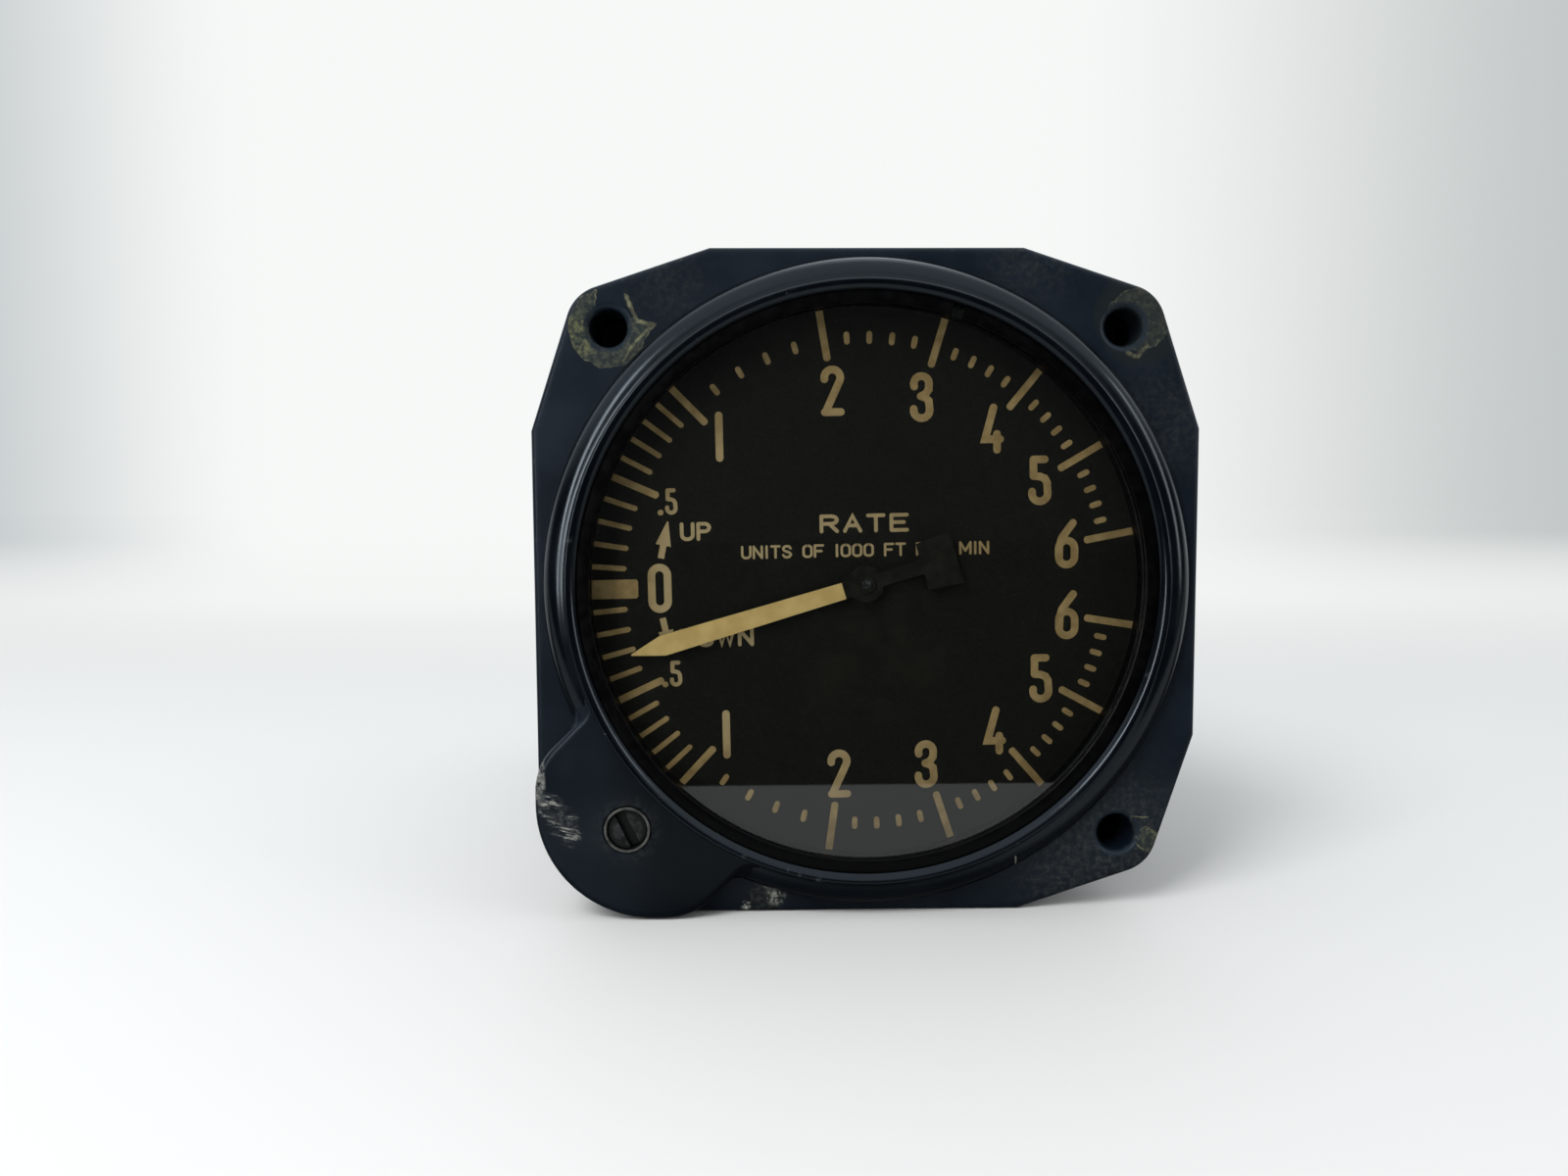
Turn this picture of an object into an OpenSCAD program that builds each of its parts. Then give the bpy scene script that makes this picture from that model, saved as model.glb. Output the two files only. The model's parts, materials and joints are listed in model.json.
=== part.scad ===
// Panel instrument that shows rate of climb and descent.
// The dial faces -Y, +Z is up and +Y runs back along the case.
// The origin is on the case axis, at the back face of the mounting flange.

/* [Case] */
// Width and height of the square flange
flange_w = 82; // [79:0.1:88]
// Thickness of the flange
flange_t = 4.8; // [4:0.1:6.5]
// Distance between the mounting holes, side to side
hole_pitch = 62.865; // [61:0.005:64]
// Radius of the mounting holes
hole_r = 2.2; // [1.8:0.05:2.6]
// Radius of the flange corners, struck from the hole centres
corner_r = 5.2; // [4:0.1:6]
// Outer radius of the raised ring where it meets the flange
ring_r = 39.8; // [39.5:0.1:40.5]
// Radius of the rounded crest of the ring
crest_r = 36.55; // [36.4:0.05:37.4]
// Height of the crest above the flange
ring_h = 2.83; // [2.5:0.05:4]
// Radius of the adjuster lobe's outer corner
lobe_r = 14.4; // [14:0.2:20]
// Drop of the lobe's face below the crest
lobe_drop = 0.2; // [0.1:0.05:0.8]
// Outer radius of the barrel
barrel_r = 39.35; // [38.6:0.05:39.6]
// Width of the relief turned in the barrel behind the adjuster boss
relief_w = 2; // [1.5:0.1:4]
// Depth of that relief
relief_d = 0.6; // [0.5:0.05:0.9]
// Length of the barrel behind the flange
barrel_len = 92; // [86:0.5:110]
// Wall of the barrel
wall = 3.05; // [2:0.05:3.2]
// Width of the inner shoulder that carries the movement
shoulder_w = 3.75; // [3.5:0.05:4.5]
// Length of the inner shoulder
shoulder_len = 4.7; // [4:0.1:6]

/* [Window] */
// Radius of the bore that takes the glass
window_r = 35.6; // [35.5:0.05:35.8]
// Thickness of the glass
glass_t = 2; // [1.6:0.1:2.2]
// Thickness of the gasket behind the glass
gasket_t = 0.3; // [0.2:0.05:0.5]
// Inner radius of the retaining ring, the edge of the view
lip_r = 33.97; // [33:0.01:34.3]
// Thickness of the retaining ring
snap_t = 0.75; // [0.6:0.05:0.8]
// Gap between the ends of the retaining ring
snap_gap = 1.4; // [1:0.1:4]
// Angle of that gap, from the right-hand side upward
snap_gap_deg = 72; // [0:1:359]
// Length of the spacer between glass and dial
spacer_len = 1.6; // [1.5:0.05:3]
// Ledge that the glass gasket seats on
ledge_w = 0.35; // [0.3:0.05:0.5]

/* [Dial] */
// Thickness of the dial
dial_t = 0.8; // [0.6:0.1:1.2]
// Turn of the dial in the case, in degrees
dial_roll = 0.9; // [-2:0.1:2]
// Thickness of the painted markings
paint_t = 0.06; // [0.05:0.01:0.12]
// Inner radius of the long marks
long_mark_r = 28.1; // [27:0.1:29]
// Width of the long marks
long_mark_w = 0.9; // [0.6:0.05:1.2]
// Inner radius of the short marks between zero and one
short_mark_r = 30; // [29:0.1:31]
// Width of the short marks
short_mark_w = 0.66; // [0.5:0.02:0.8]
// Length of the dashes above one
dash_len = 1.6; // [1.2:0.1:2.4]
// Width of the zero bar
zero_bar_w = 2.4; // [1.6:0.1:3]
// Height of the numerals
numeral_h = 6.2; // [5:0.1:7]
// Width of the numerals
numeral_w = 2.95; // [2.4:0.05:3.4]
// Width of the numerals' stroke
stroke_w = 0.95; // [0.7:0.05:1.1]
// Size of the small half-unit numerals against the others
small_scale = 0.53; // [0.45:0.01:0.6]

/* [Pointer] */
// Length of the pointer from the axis to the tip
pointer_len = 30.6; // [28:0.1:31]
// Length of the tapered point
point_len = 4.1; // [3:0.1:6]
// Width of the pointer beside the hub
pointer_w = 2.1; // [1.6:0.1:2.6]
// Width of the pointer at its shoulders
pointer_shoulder_w = 2.6; // [2.2:0.1:3]
// Thickness of the pointer
pointer_t = 0.4; // [0.3:0.05:0.5]
// Clearance between the pointer and the dial
pointer_clear = 0.65; // [0.5:0.05:0.7]
// Distance from the axis to the start of the pointer's paint
paint_start = 2.85; // [2.5:0.05:5]
// Distance from the axis to the end of the counterweight
tail_len = 11.9; // [10:0.1:15]
// Length of the counterweight block
tail_block_len = 4.5; // [3:0.1:6]
// Width of the counterweight block
tail_block_w = 6.8; // [4:0.1:8]
// Degrees below the zero mark at which the pointer rests
pointer_rest = 16.5; // [0:0.1:30]

/* [Gears] */
// Gear module
gear_m = 0.35; // [0.33:0.01:0.36]
// Leaves of the pinion
pinion_teeth = 12; // [12:1:13]
// Turns of the pointer for one turn of the sector
gear_ratio = 11; // [10:0.5:11]
// Play between meshed teeth, along the pitch line
tooth_play = 0.07; // [0.05:0.01:0.12]
// Face width of the sector
sector_t = 1.2; // [0.8:0.1:1.6]
// Height of the sector arbor below the case axis
sector_drop = 6.25; // [5.5:0.05:7]
// Number of teeth on the sector
sector_teeth = 15; // [15:2:17]
// Furthest turn of the pointer from zero, in degrees
pointer_reach = 173; // [170:0.5:176]

/* [Linkage] */
// Arm of the sector tail and of the finger that drives it
crank = 10; // [9:0.1:11]
// Radius of the finger
finger_r = 0.6; // [0.4:0.05:0.8]
// Radius of the sector tail
tail_r = 0.5; // [0.4:0.05:0.7]
// Gap between the finger and the tail at mid travel
finger_gap = 0.14; // [0.12:0.01:0.3]
// Radius of the link pin
link_pin_r = 0.5; // [0.4:0.05:0.7]
// Clearance round the link pin
link_clear = 0.25; // [0.25:0.01:0.35]
// Radius of the rocking shaft
rock_r = 1.5; // [1.3:0.1:2]

/* [Capsule] */
// Outer radius of the pressure capsule
capsule_r = 24; // [20:0.5:24]
// Distance between the two diaphragms at the centre
capsule_h = 5; // [4.4:0.1:6]
// Thickness of a diaphragm
diaphragm_t = 0.3; // [0.2:0.05:0.4]
// Height of the corrugations
wave_h = 0.5; // [0.3:0.05:0.7]
// Number of corrugations
waves = 5; // [4:1:6]

/* [Movement] */
// Thickness of the front plate
front_plate_t = 2.5; // [2.2:0.1:3]
// Space between the front and rear plates
plate_gap = 11.2; // [11:0.1:13]
// Thickness of the rear plate and of the capsule plate
rear_plate_t = 2; // [1.6:0.1:2.5]
// Radius of the rear plate and of the capsule plate
rear_plate_r = 30.5; // [30.3:0.1:31]
// Radius of the short pillars
pillar_r = 2; // [1.6:0.1:2.4]
// Length of the long pillars
long_pillar_len = 35.5; // [35.5:0.1:38]
// Radius of the bearings in the plates
pivot_r = 1; // [0.8:0.05:1.1]
// Radial clearance of the bearings
run_fit = 0.04; // [0.02:0.01:0.08]
// Radial clearance of seated pieces
seat_fit = 0.1; // [0.05:0.01:0.2]
// Radius of the movement and cover screws
screw_r = 1; // [0.9:0.05:1.1]
// Turns of the hairspring
hairspring_turns = 5; // [4:1:6]

/* [Zero setter] */
// Offset of the adjusting screw from the axis, across and down
setter_offset = 29.7; // [29.5:0.05:30]
// Outer radius of the adjuster bushing
bushing_r = 2.85; // [2.6:0.05:3.2]
// Radius of the adjusting screw's head
setter_head_r = 2.4; // [2:0.05:2.5]
// Angle of the slot in its head
slot_angle = 116; // [0:1:180]
// Throw of the eccentric pin
eccentric = 1.6; // [1.2:0.05:1.8]
// Radius of the eccentric pin
eccentric_pin_r = 0.8; // [0.6:0.05:1]
// Clearance of the pin in the lever's slot
slot_clear = 0.1; // [0.08:0.01:0.15]
// Distance of the zero lever's pivot from the case axis
lever_pivot_r = 27.5; // [27.3:0.1:28]
// Radius of the boss behind the flange
boss_r = 8; // [7.6:0.1:9]

/* [Back] */
// Thickness of the rear cover
cover_t = 2.6; // [2:0.1:3.5]
// Thickness of the rear gasket
rear_gasket_t = 0.6; // [0.4:0.1:1]
// Number of rear cover screws
cover_screws = 6; // [4:1:8]
// Radius of the threaded static port
port_r = 4.37; // [4.3:0.01:4.5]
// Depth of the threaded static port
port_depth = 9; // [7:0.5:12]
// Width across flats of the port fitting
port_flats = 16; // [14:0.5:19]
// Length of the fitting behind the cover
port_len = 10; // [9:0.5:14]

/* [Hidden] */
$fn = 64;

// Y stations from front to back
flange_y = -flange_t;
crest_y = flange_y - ring_h;
lobe_y = crest_y + lobe_drop;
bevel_y = crest_y + 0.63;
snap_y = crest_y + 0.98;
glass_y = snap_y + snap_t;
glass_back_y = glass_y + glass_t;
ledge_y = glass_back_y + gasket_t;
dial_y = ledge_y + spacer_len;
plate_y = dial_y + dial_t;
seat_y = plate_y + front_plate_t;
shoulder_end_y = seat_y + shoulder_len;
rear_plate_y = seat_y + plate_gap;
rear_face_y = rear_plate_y + rear_plate_t;
sector_y = seat_y + 4.7;
pinion_y = sector_y - 0.3;
spring_y = sector_y + sector_t + 1.7;
spring_t = 0.8;
tail_y = rear_face_y + 3.5;
rock_y = tail_y + crank;
cap_plate_y = rear_face_y + long_pillar_len;
leaf_t = 0.8;
leaf_gap = 0.8;
leaf_y = cap_plate_y - leaf_gap - leaf_t;
base_len = 2.4;
capsule_back_y = leaf_y - base_len;
capsule_front_y = capsule_back_y - capsule_h;
rim_y = (capsule_back_y + capsule_front_y) / 2;
cap_plate_back_y = cap_plate_y + rear_plate_t;
cover_y = barrel_len + rear_gasket_t;
cover_back_y = cover_y + cover_t;

// Radii inside the case
barrel_in_r = barrel_r - wall;
bore_r = window_r - ledge_w;
plate_r = bore_r - seat_fit;
shoulder_r = bore_r - shoulder_w;
movement_screw_pcr = (plate_r + shoulder_r) / 2;
snap_r = window_r + 0.45;
groove_r = snap_r + seat_fit;
cover_screw_pcr = barrel_in_r - 1.7;
cover_r = barrel_r - 0.8;
cover_boss_r = 3;

// Gear train and linkage, at mid travel unless the name says rest
pinion_pr = gear_m * pinion_teeth / 2;
sector_pr = pinion_pr * gear_ratio;
centres = pinion_pr + sector_pr;
sector_x = -sqrt(centres * centres - sector_drop * sector_drop);
sector_z = -sector_drop;
sector_dir = atan2(-sector_z, -sector_x);
sector_pitch_deg = 360 / (pinion_teeth * gear_ratio);
sector_rest = pointer_rest / gear_ratio;
sector_reach = pointer_reach / gear_ratio;
wheel_addendum = 1.25 * gear_m;
leaf_addendum = 0.6 * gear_m;
tooth_half = (PI * gear_m / 2 - tooth_play) / 2;
finger_x = sector_x + crank;
rock_z = sector_z + finger_r + tail_r + finger_gap;
link_arm_len = -rock_z;
hub_r = 2.2;

// Adjuster places, on the diagonal towards the lower left corner
diagonal = -135;
setter_r = setter_offset * sqrt(2);
pin_r_out = setter_r - eccentric;
lever_y = seat_y + 1.9;
lever_t = 1.6;
cavity_y = seat_y + 0.3;
cavity_end_y = lever_y + lever_t + 1.9;
boss_end_y = cavity_end_y + 2;
relief_y = boss_end_y + 0.5;
setter_shaft_r = 1.2;
cam_r = 3;
leaf_reach = lever_pivot_r - cam_r + 1.5;

// Angles of the repeated fixings
movement_screw_angles = [30, 150, 270];
short_pillar_angles = [20, 130, 275];
long_pillar_angles = [90, 210, 330];
short_pillar_pcr = rear_plate_r - 3;
long_pillar_pcr = rear_plate_r - 2.5;
dial_foot_angles = [100, 280];
dial_foot_pcr = 18;
bracket_x = [-10, 8.5];
bracket_t = 1.5;

function pol(r, a) = [r * cos(a), r * sin(a)];
function unit(v) = v / norm(v);
function arc_points(c, r, a0, a1, n) =
    [for (i = [0:n]) c + pol(r, a0 + (a1 - a0) * i / n)];

// Draws its outline in the XZ plane and runs from y0 to y1
module along_y(y0, y1) {
    translate([0, y1, 0]) rotate([90, 0, 0]) linear_extrude(height = y1 - y0) children();
}

// Turns a profile of [radius, y] points round the case axis
module about_y(profile) {
    rotate([90, 0, 0]) rotate_extrude($fn = 96) polygon([for (p = profile) [p[0], -p[1]]]);
}

module rod_y(r, y0, y1) {
    translate([0, y0, 0]) rotate([-90, 0, 0]) cylinder(r = r, h = y1 - y0);
}

module rod_x(r, x0, x1) {
    translate([x0, 0, 0]) rotate([0, 90, 0]) cylinder(r = r, h = x1 - x0);
}

module tube_y(r_out, r_in, y0, y1) {
    difference() {
        rod_y(r_out, y0, y1);
        rod_y(r_in, y0 - 1, y1 + 1);
    }
}

// Places its children at a radius and an angle seen from the front
module at_polar(r, a) {
    translate([r * cos(a), 0, r * sin(a)]) children();
}

// A turn about +Y is clockwise from the front
module turned(angle) {
    rotate([0, angle, 0]) children();
}

module sector_frame() {
    translate([sector_x, 0, sector_z]) turned(sector_rest) children();
}

module pointer_frame() {
    turned(-pointer_rest) children();
}

module rocker_frame() {
    translate([0, rock_y, rock_z]) rotate([sector_rest, 0, 0]) children();
}

module on_diagonal(r) {
    turned(-diagonal) translate([r, 0, 0]) children();
}

// Slotted screw that points along +Y, with its head in front of y
module screw_back(y, length, head_r, head_h) {
    difference() {
        union() {
            rod_y(screw_r, y - 0.01, y + length);
            rod_y(head_r, y - head_h, y);
        }
        translate([-head_r - 1, y - head_h - 1, -0.25]) cube([2 * head_r + 2, 1.5, 0.5]);
    }
}

// Slotted screw that points along -Y, with its head behind y
module screw_front(y, length, head_r, head_h) {
    difference() {
        union() {
            rod_y(screw_r, y - length, y + 0.01);
            rod_y(head_r, y, y + head_h);
        }
        translate([-head_r - 1, y + head_h - 0.5, -0.25]) cube([2 * head_r + 2, 1.5, 0.5]);
    }
}

// Outline of a stroke of even width with round ends along a path
function path_dir(p, i) =
    let (n = len(p))
    i == 0 ? unit(p[1] - p[0])
    : i == n - 1 ? unit(p[i] - p[i - 1])
    : unit(unit(p[i] - p[i - 1]) + unit(p[i + 1] - p[i]));
function path_mitre(p, i) =
    (i == 0 || i == len(p) - 1) ? 1
    : 1 / max(0.55, path_dir(p, i) * unit(p[i + 1] - p[i]));
function path_side(p, i, w) =
    let (d = path_dir(p, i)) p[i] + [-d[1], d[0]] * w / 2 * path_mitre(p, i);
function path_cap(p, i, w, sign) =
    let (d = path_dir(p, i) * sign, a = atan2(d[1], d[0]))
    [for (t = [60, 30, 0, -30, -60]) p[i] + pol(abs(w) / 2, a + t)];
function ribbon(p, w) =
    concat([for (i = [0:len(p) - 1]) path_side(p, i, w)],
        path_cap(p, len(p) - 1, w, 1),
        [for (i = [len(p) - 1:-1:0]) path_side(p, i, -w)],
        path_cap(p, 0, w, -1));

// Case

// Half of one taper: the side's end and the tangent point on the corner
taper_deg = 18.3;
half_w = flange_w / 2;
hole_c = hole_pitch / 2;
taper_tangent = [hole_c, hole_c] + pol(corner_r, taper_deg);
taper_reach = (taper_tangent[0] * cos(taper_deg) + taper_tangent[1] * sin(taper_deg)
    - half_w * cos(taper_deg)) / sin(taper_deg);
lobe_c = half_w - lobe_r;

// The ring's outer side rolls over from just outside the crest down to the flange
brow_r = crest_r + 0.45;
brow_h = ring_h - 0.4;

function plain_corner(q) =
    [for (p = concat([[half_w, taper_reach]],
        arc_points([hole_c, hole_c], corner_r, taper_deg, 90 - taper_deg, 10),
        [[taper_reach, half_w]]))
        [p[0] * cos(q) - p[1] * sin(q), p[0] * sin(q) + p[1] * cos(q)]];

module flange_outline() {
    polygon(concat(plain_corner(0), plain_corner(90),
        arc_points([-lobe_c, -lobe_c], lobe_r, 180, 270, 18), plain_corner(270)));
}

// The raised lobe, inset from its own edge. Each side leaves the ring along a line at 45 degrees, turns
// through a wide shoulder and meets the corner. The neck runs on under the crest of the ring.
neck_line = 19.3;
neck_run = 7;
shoulder_bend_r = 8;
shoulder_bend = [-half_w + shoulder_bend_r, -half_w + shoulder_bend_r * (1 - sqrt(2)) + neck_line];
function lobe_side(inset) =
    concat([shoulder_bend + pol(shoulder_bend_r - inset, 135) + pol(neck_run, 45)],
        arc_points(shoulder_bend, shoulder_bend_r - inset, 135, 180, 6),
        arc_points([-lobe_c, -lobe_c], lobe_r - inset, 180, 225, 9));
module lobe_outline(inset) {
    side = lobe_side(inset);
    polygon(concat(side, [for (i = [len(side) - 2:-1:0]) [side[i][1], side[i][0]]], [[-20, -20]]));
}

module case() {
    color("#20242c") difference() {
        union() {
            along_y(flange_y, 0) flange_outline();
            hull() {
                along_y(lobe_y + 0.6, flange_y + 0.5) lobe_outline(0.02);
                along_y(lobe_y, lobe_y + 0.7) lobe_outline(0.55);
            }
            about_y(concat([[window_r - 2, flange_y + 1], [window_r - 2, bevel_y], [window_r, bevel_y],
                [crest_r - 0.42, crest_y + 0.14], [crest_r - 0.16, crest_y + 0.02],
                [crest_r + 0.1, crest_y], [crest_r + 0.3, crest_y + 0.1]],
                [for (a = [0:15:75]) [brow_r + (ring_r - brow_r) * sin(a), flange_y - brow_h * cos(a)]],
                [[ring_r, flange_y], [ring_r, flange_y + 1]]));
            rod_y(barrel_r, flange_y + 1, barrel_len);
            on_diagonal(0) {
                translate([setter_r, 0, 0]) rod_y(boss_r, -1, boss_end_y);
                translate([barrel_in_r - 3, -1, -boss_r])
                    cube([setter_r - barrel_in_r + 3, boss_end_y + 1, 2 * boss_r]);
            }
        }
        about_y([[0, crest_y - 1], [window_r, crest_y - 1], [window_r, snap_y - 0.1],
            [groove_r, snap_y - 0.1], [groove_r, glass_y + 0.05], [window_r, glass_y + 0.05],
            [window_r, ledge_y], [bore_r, ledge_y], [bore_r, seat_y], [shoulder_r, seat_y],
            [shoulder_r, shoulder_end_y], [barrel_in_r, shoulder_end_y],
            [barrel_in_r, barrel_len + 1], [0, barrel_len + 1]]);
        about_y([[barrel_r - relief_d, relief_y], [barrel_r + 0.5, relief_y],
            [barrel_r + 0.5, relief_y + relief_w], [barrel_r - relief_d, relief_y + relief_w]]);
        for (s = [[1, 1], [-1, 1], [1, -1]])
            translate([s[0] * hole_c, 0, s[1] * hole_c]) rod_y(hole_r, flange_y - 1, 1);
        for (a = movement_screw_angles)
            at_polar(movement_screw_pcr, a) rod_y(screw_r + 0.05, seat_y - 1, shoulder_end_y - 0.6);
        on_diagonal(setter_r) {
            rod_y(bushing_r + 0.03, crest_y - 1, cavity_y + 1);
            rod_y(boss_r - 1.8, cavity_y, cavity_end_y);
        }
        on_diagonal(0) translate([shoulder_r - 2, cavity_y, -5])
            cube([setter_r - shoulder_r + 2, cavity_end_y - cavity_y, 10]);
    }
    color("#20242c") for (i = [0:cover_screws - 1])
        at_polar(cover_screw_pcr, 90 + i * 360 / cover_screws) difference() {
            intersection() {
                rod_y(cover_boss_r, barrel_len - 10, barrel_len);
                at_polar(-cover_screw_pcr, 90 + i * 360 / cover_screws)
                    tube_y(barrel_in_r + 0.4, 5, barrel_len - 11, barrel_len + 1);
            }
            rod_y(screw_r + 0.05, barrel_len - 8, barrel_len + 1);
        }
}

// Window

module glass() {
    color("#d8e0e0", 0.3) rod_y(window_r - seat_fit, glass_y, glass_back_y);
}

module glass_gasket() {
    color("#101010") tube_y(window_r - seat_fit, bore_r - 0.75, glass_back_y, ledge_y);
}

module retaining_ring() {
    color("#16181c") difference() {
        about_y([[lip_r, glass_y], [lip_r, snap_y + 0.22], [lip_r + 0.12, snap_y + 0.12],
            [lip_r + 0.9, snap_y], [snap_r, snap_y], [snap_r, glass_y]]);
        turned(-snap_gap_deg) translate([0, snap_y - 1, -snap_gap / 2])
            cube([snap_r + 5, snap_t + 2, snap_gap]);
    }
}

module spacer_ring() {
    color("#101114") tube_y(plate_r, bore_r - 0.85, ledge_y, dial_y);
}

// Dial

// Degrees from zero of each whole unit, up and down alike
scale_deg = [0, 46.3, 81.3, 107.7, 130.3, 150.5, 170];
half_deg = 24.2;
// Radius at which each numeral stands
numeral_pcr = [25.8, 25.9, 24.4, 24.3, 25, 25.4, 25.85];
mark_out_r = bore_r - 0.95;
box_w = numeral_w - stroke_w;
box_h = numeral_h - stroke_w;
bow = box_w / 2;

// Degrees from zero of any reading
function reading_deg(v) =
    v <= 0.5 ? half_deg * v / 0.5
    : v <= 1 ? half_deg + (scale_deg[1] - half_deg) * (v - 0.5) / 0.5
    : let (i = min(5, floor(v))) scale_deg[i] + (scale_deg[i + 1] - scale_deg[i]) * (v - i);

// Strokes of each numeral about its own centre
function numeral_strokes(n) =
    let (b = bow, t = box_h / 2, low = -t + b)
    n == 1 ? [[[0, t], [0, -t]]]
    : n == 2 ? [concat(arc_points([0, t - b], b, 190, -25, 10), [[-b + 0.1, -t]]), [[-b, -t], [b, -t]]]
    : n == 3 ? [concat(arc_points([0, t - b], b * 0.95, 200, 0, 9),
            [[b * 0.9, 0.9], [b * 0.5, 0.35], [-0.1, 0.1]]),
        concat([[-0.1, 0.1], [b * 0.5, -0.1], [b * 0.9, -0.5]],
            arc_points([0, low], b, 0, -190, 9))]
    : n == 4 ? [[[0.2, t], [-b + 0.1, -t / 2], [b, -t / 2]], [[0.6, -t / 4], [0.6, -t]]]
    : n == 5 ? [[[b * 0.65, t], [-b * 0.78, t]], [[-b * 0.78, t], [-b * 0.78, 0.55]],
        concat([[-b * 0.78, 0.55], [0, 0.5], [b * 0.6, 0.25], [b * 0.92, -0.3]],
            arc_points([0, low], b, 0, -195, 9))]
    : [[[b * 0.82, t], [0.1, t * 0.64], [-b * 0.6, 0.75], [-b * 0.9, -0.3], [-b * 0.94, low]]];

// Height of the bowl of a six
bowl_h = 4;

module ring_stroke(w, h, line) {
    difference() {
        polygon(concat(arc_points([0, h / 2 - w / 2], w / 2, 0, 180, 12),
            arc_points([0, w / 2 - h / 2], w / 2, 180, 360, 12)));
        polygon(concat(arc_points([0, h / 2 - w / 2], w / 2 - line, 0, 180, 12),
            arc_points([0, w / 2 - h / 2], w / 2 - line, 180, 360, 12)));
    }
}

module numeral(n) {
    if (n == 0) ring_stroke(numeral_w, numeral_h, stroke_w);
    if (n == 6) translate([0, (bowl_h - numeral_h) / 2]) ring_stroke(numeral_w, bowl_h, stroke_w);
    if (n > 0) for (s = numeral_strokes(n)) polygon(ribbon(s, stroke_w));
}

// A mark along +X with eased inner corners
module mark(r0, r1, w) {
    ease = min(w / 3, 0.25);
    polygon([[r0, -w / 2 + ease], [r0 + ease, -w / 2], [r1, -w / 2], [r1, w / 2],
        [r0 + ease, w / 2], [r0, w / 2 - ease]]);
}

module dash(r, w) {
    polygon(ribbon([[r - (dash_len - w) / 2, 0], [r + (dash_len - w) / 2, 0]], w));
}

arrow_len = 4.7;
arrow_head_len = 3.05;
arrow_head_w = 1.95;
arrow_tail_w = 0.8;
module arrow() {
    polygon([[-arrow_tail_w / 2, 0], [arrow_tail_w / 2, 0],
        [arrow_tail_w / 2, arrow_len - arrow_head_len], [arrow_head_w / 2, arrow_len - arrow_head_len],
        [0.08, arrow_len], [-0.08, arrow_len], [-arrow_head_w / 2, arrow_len - arrow_head_len],
        [-arrow_tail_w / 2, arrow_len - arrow_head_len]]);
}

// One half of the scale; side is 1 above the zero mark and -1 below it
module scale_half(side) {
    for (v = [0.5, 1, 2, 3, 4, 5, 6])
        rotate(180 - side * reading_deg(v)) mark(long_mark_r, mark_out_r, long_mark_w);
    for (i = [1, 2, 3, 4, 6, 7, 8, 9])
        rotate(180 - side * reading_deg(i / 10)) mark(short_mark_r, mark_out_r, short_mark_w);
    for (v = [1:5], i = [1:4])
        rotate(180 - side * reading_deg(v + i / 5)) dash(short_mark_r + 0.6, short_mark_w + 0.05);
    for (n = [1:6])
        translate(pol(numeral_pcr[n], 180 - side * scale_deg[n])) numeral(n);
    translate(pol(26.4, 180 - side * half_deg)) scale(small_scale) numeral(5);
    translate(pol(26.4, 180 - side * half_deg) + [-1.35, -1.35]) circle(r = 0.36, $fn = 24);
    translate([-25.55, side * 3.75]) rotate(side > 0 ? -12 : 192) arrow();
}

module dial() {
    color("#1b1c1a") difference() {
        rod_y(bore_r - 0.25, dial_y, plate_y);
        rod_y(pivot_r + 0.5, dial_y - 1, plate_y + 1);
    }
}

module dial_markings() {
    color("#b39a62") along_y(dial_y - paint_t, dial_y) rotate(dial_roll) {
        scale_half(1);
        scale_half(-1);
        rotate(180) mark(28.5, mark_out_r, zero_bar_w);
        translate([-numeral_pcr[0], 0]) numeral(0);
    }
}

module dial_feet() {
    color("#b08d57") for (a = dial_foot_angles)
        at_polar(dial_foot_pcr, a) rod_y(0.8, plate_y, seat_y + 1.4);
}

module dial_nuts() {
    color("#b08d57") for (a = dial_foot_angles)
        at_polar(dial_foot_pcr, a) difference() {
            translate([0, seat_y, 0]) rotate([-90, 0, 0]) cylinder(r = 1.9, h = 1, $fn = 6);
            rod_y(0.85, seat_y - 1, seat_y + 2);
        }
}

// Pointer

pointer_back_y = dial_y - pointer_clear;
pointer_y = pointer_back_y - pointer_t;
tip_start = pointer_len - point_len;
staff_tip_r = 0.6;
pointer_hub_r = 1.7;
function pointer_width(r) =
    pointer_w + (pointer_shoulder_w - pointer_w) * (r - paint_start) / (tip_start - paint_start);

module pointer() {
    color("#141414") pointer_frame() difference() {
        along_y(pointer_y, pointer_back_y) {
            polygon([[0, pointer_w / 2], [-tip_start, pointer_width(tip_start) / 2],
                [-pointer_len, 0.1], [-pointer_len, -0.1],
                [-tip_start, -pointer_width(tip_start) / 2], [0, -pointer_w / 2]]);
            circle(r = 2.3);
            polygon([[0, -0.9], [tail_len - 1, -0.9], [tail_len - 1, 0.9], [0, 0.9]]);
            polygon([[tail_len - tail_block_len, -tail_block_w / 2 + 0.4], [tail_len, -tail_block_w / 2],
                [tail_len, tail_block_w / 2], [tail_len - tail_block_len, tail_block_w / 2 - 0.4]]);
        }
        rod_y(staff_tip_r + 0.02, pointer_y - 1, pointer_back_y + 1);
    }
}

module pointer_paint() {
    color("#cbb98a") pointer_frame() along_y(pointer_y - paint_t, pointer_y)
        polygon([[-paint_start, pointer_width(paint_start) / 2],
            [-tip_start, pointer_width(tip_start) / 2],
            [-pointer_len, 0.1], [-pointer_len, -0.1],
            [-tip_start, -pointer_width(tip_start) / 2],
            [-paint_start, -pointer_width(paint_start) / 2]]);
}

module pointer_hub() {
    color("#141414") {
        tube_y(pointer_hub_r, staff_tip_r + 0.02, pointer_back_y, pointer_back_y + 0.35);
        tube_y(1.2, staff_tip_r + 0.02, pointer_y - 0.35, pointer_y);
    }
}

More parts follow.
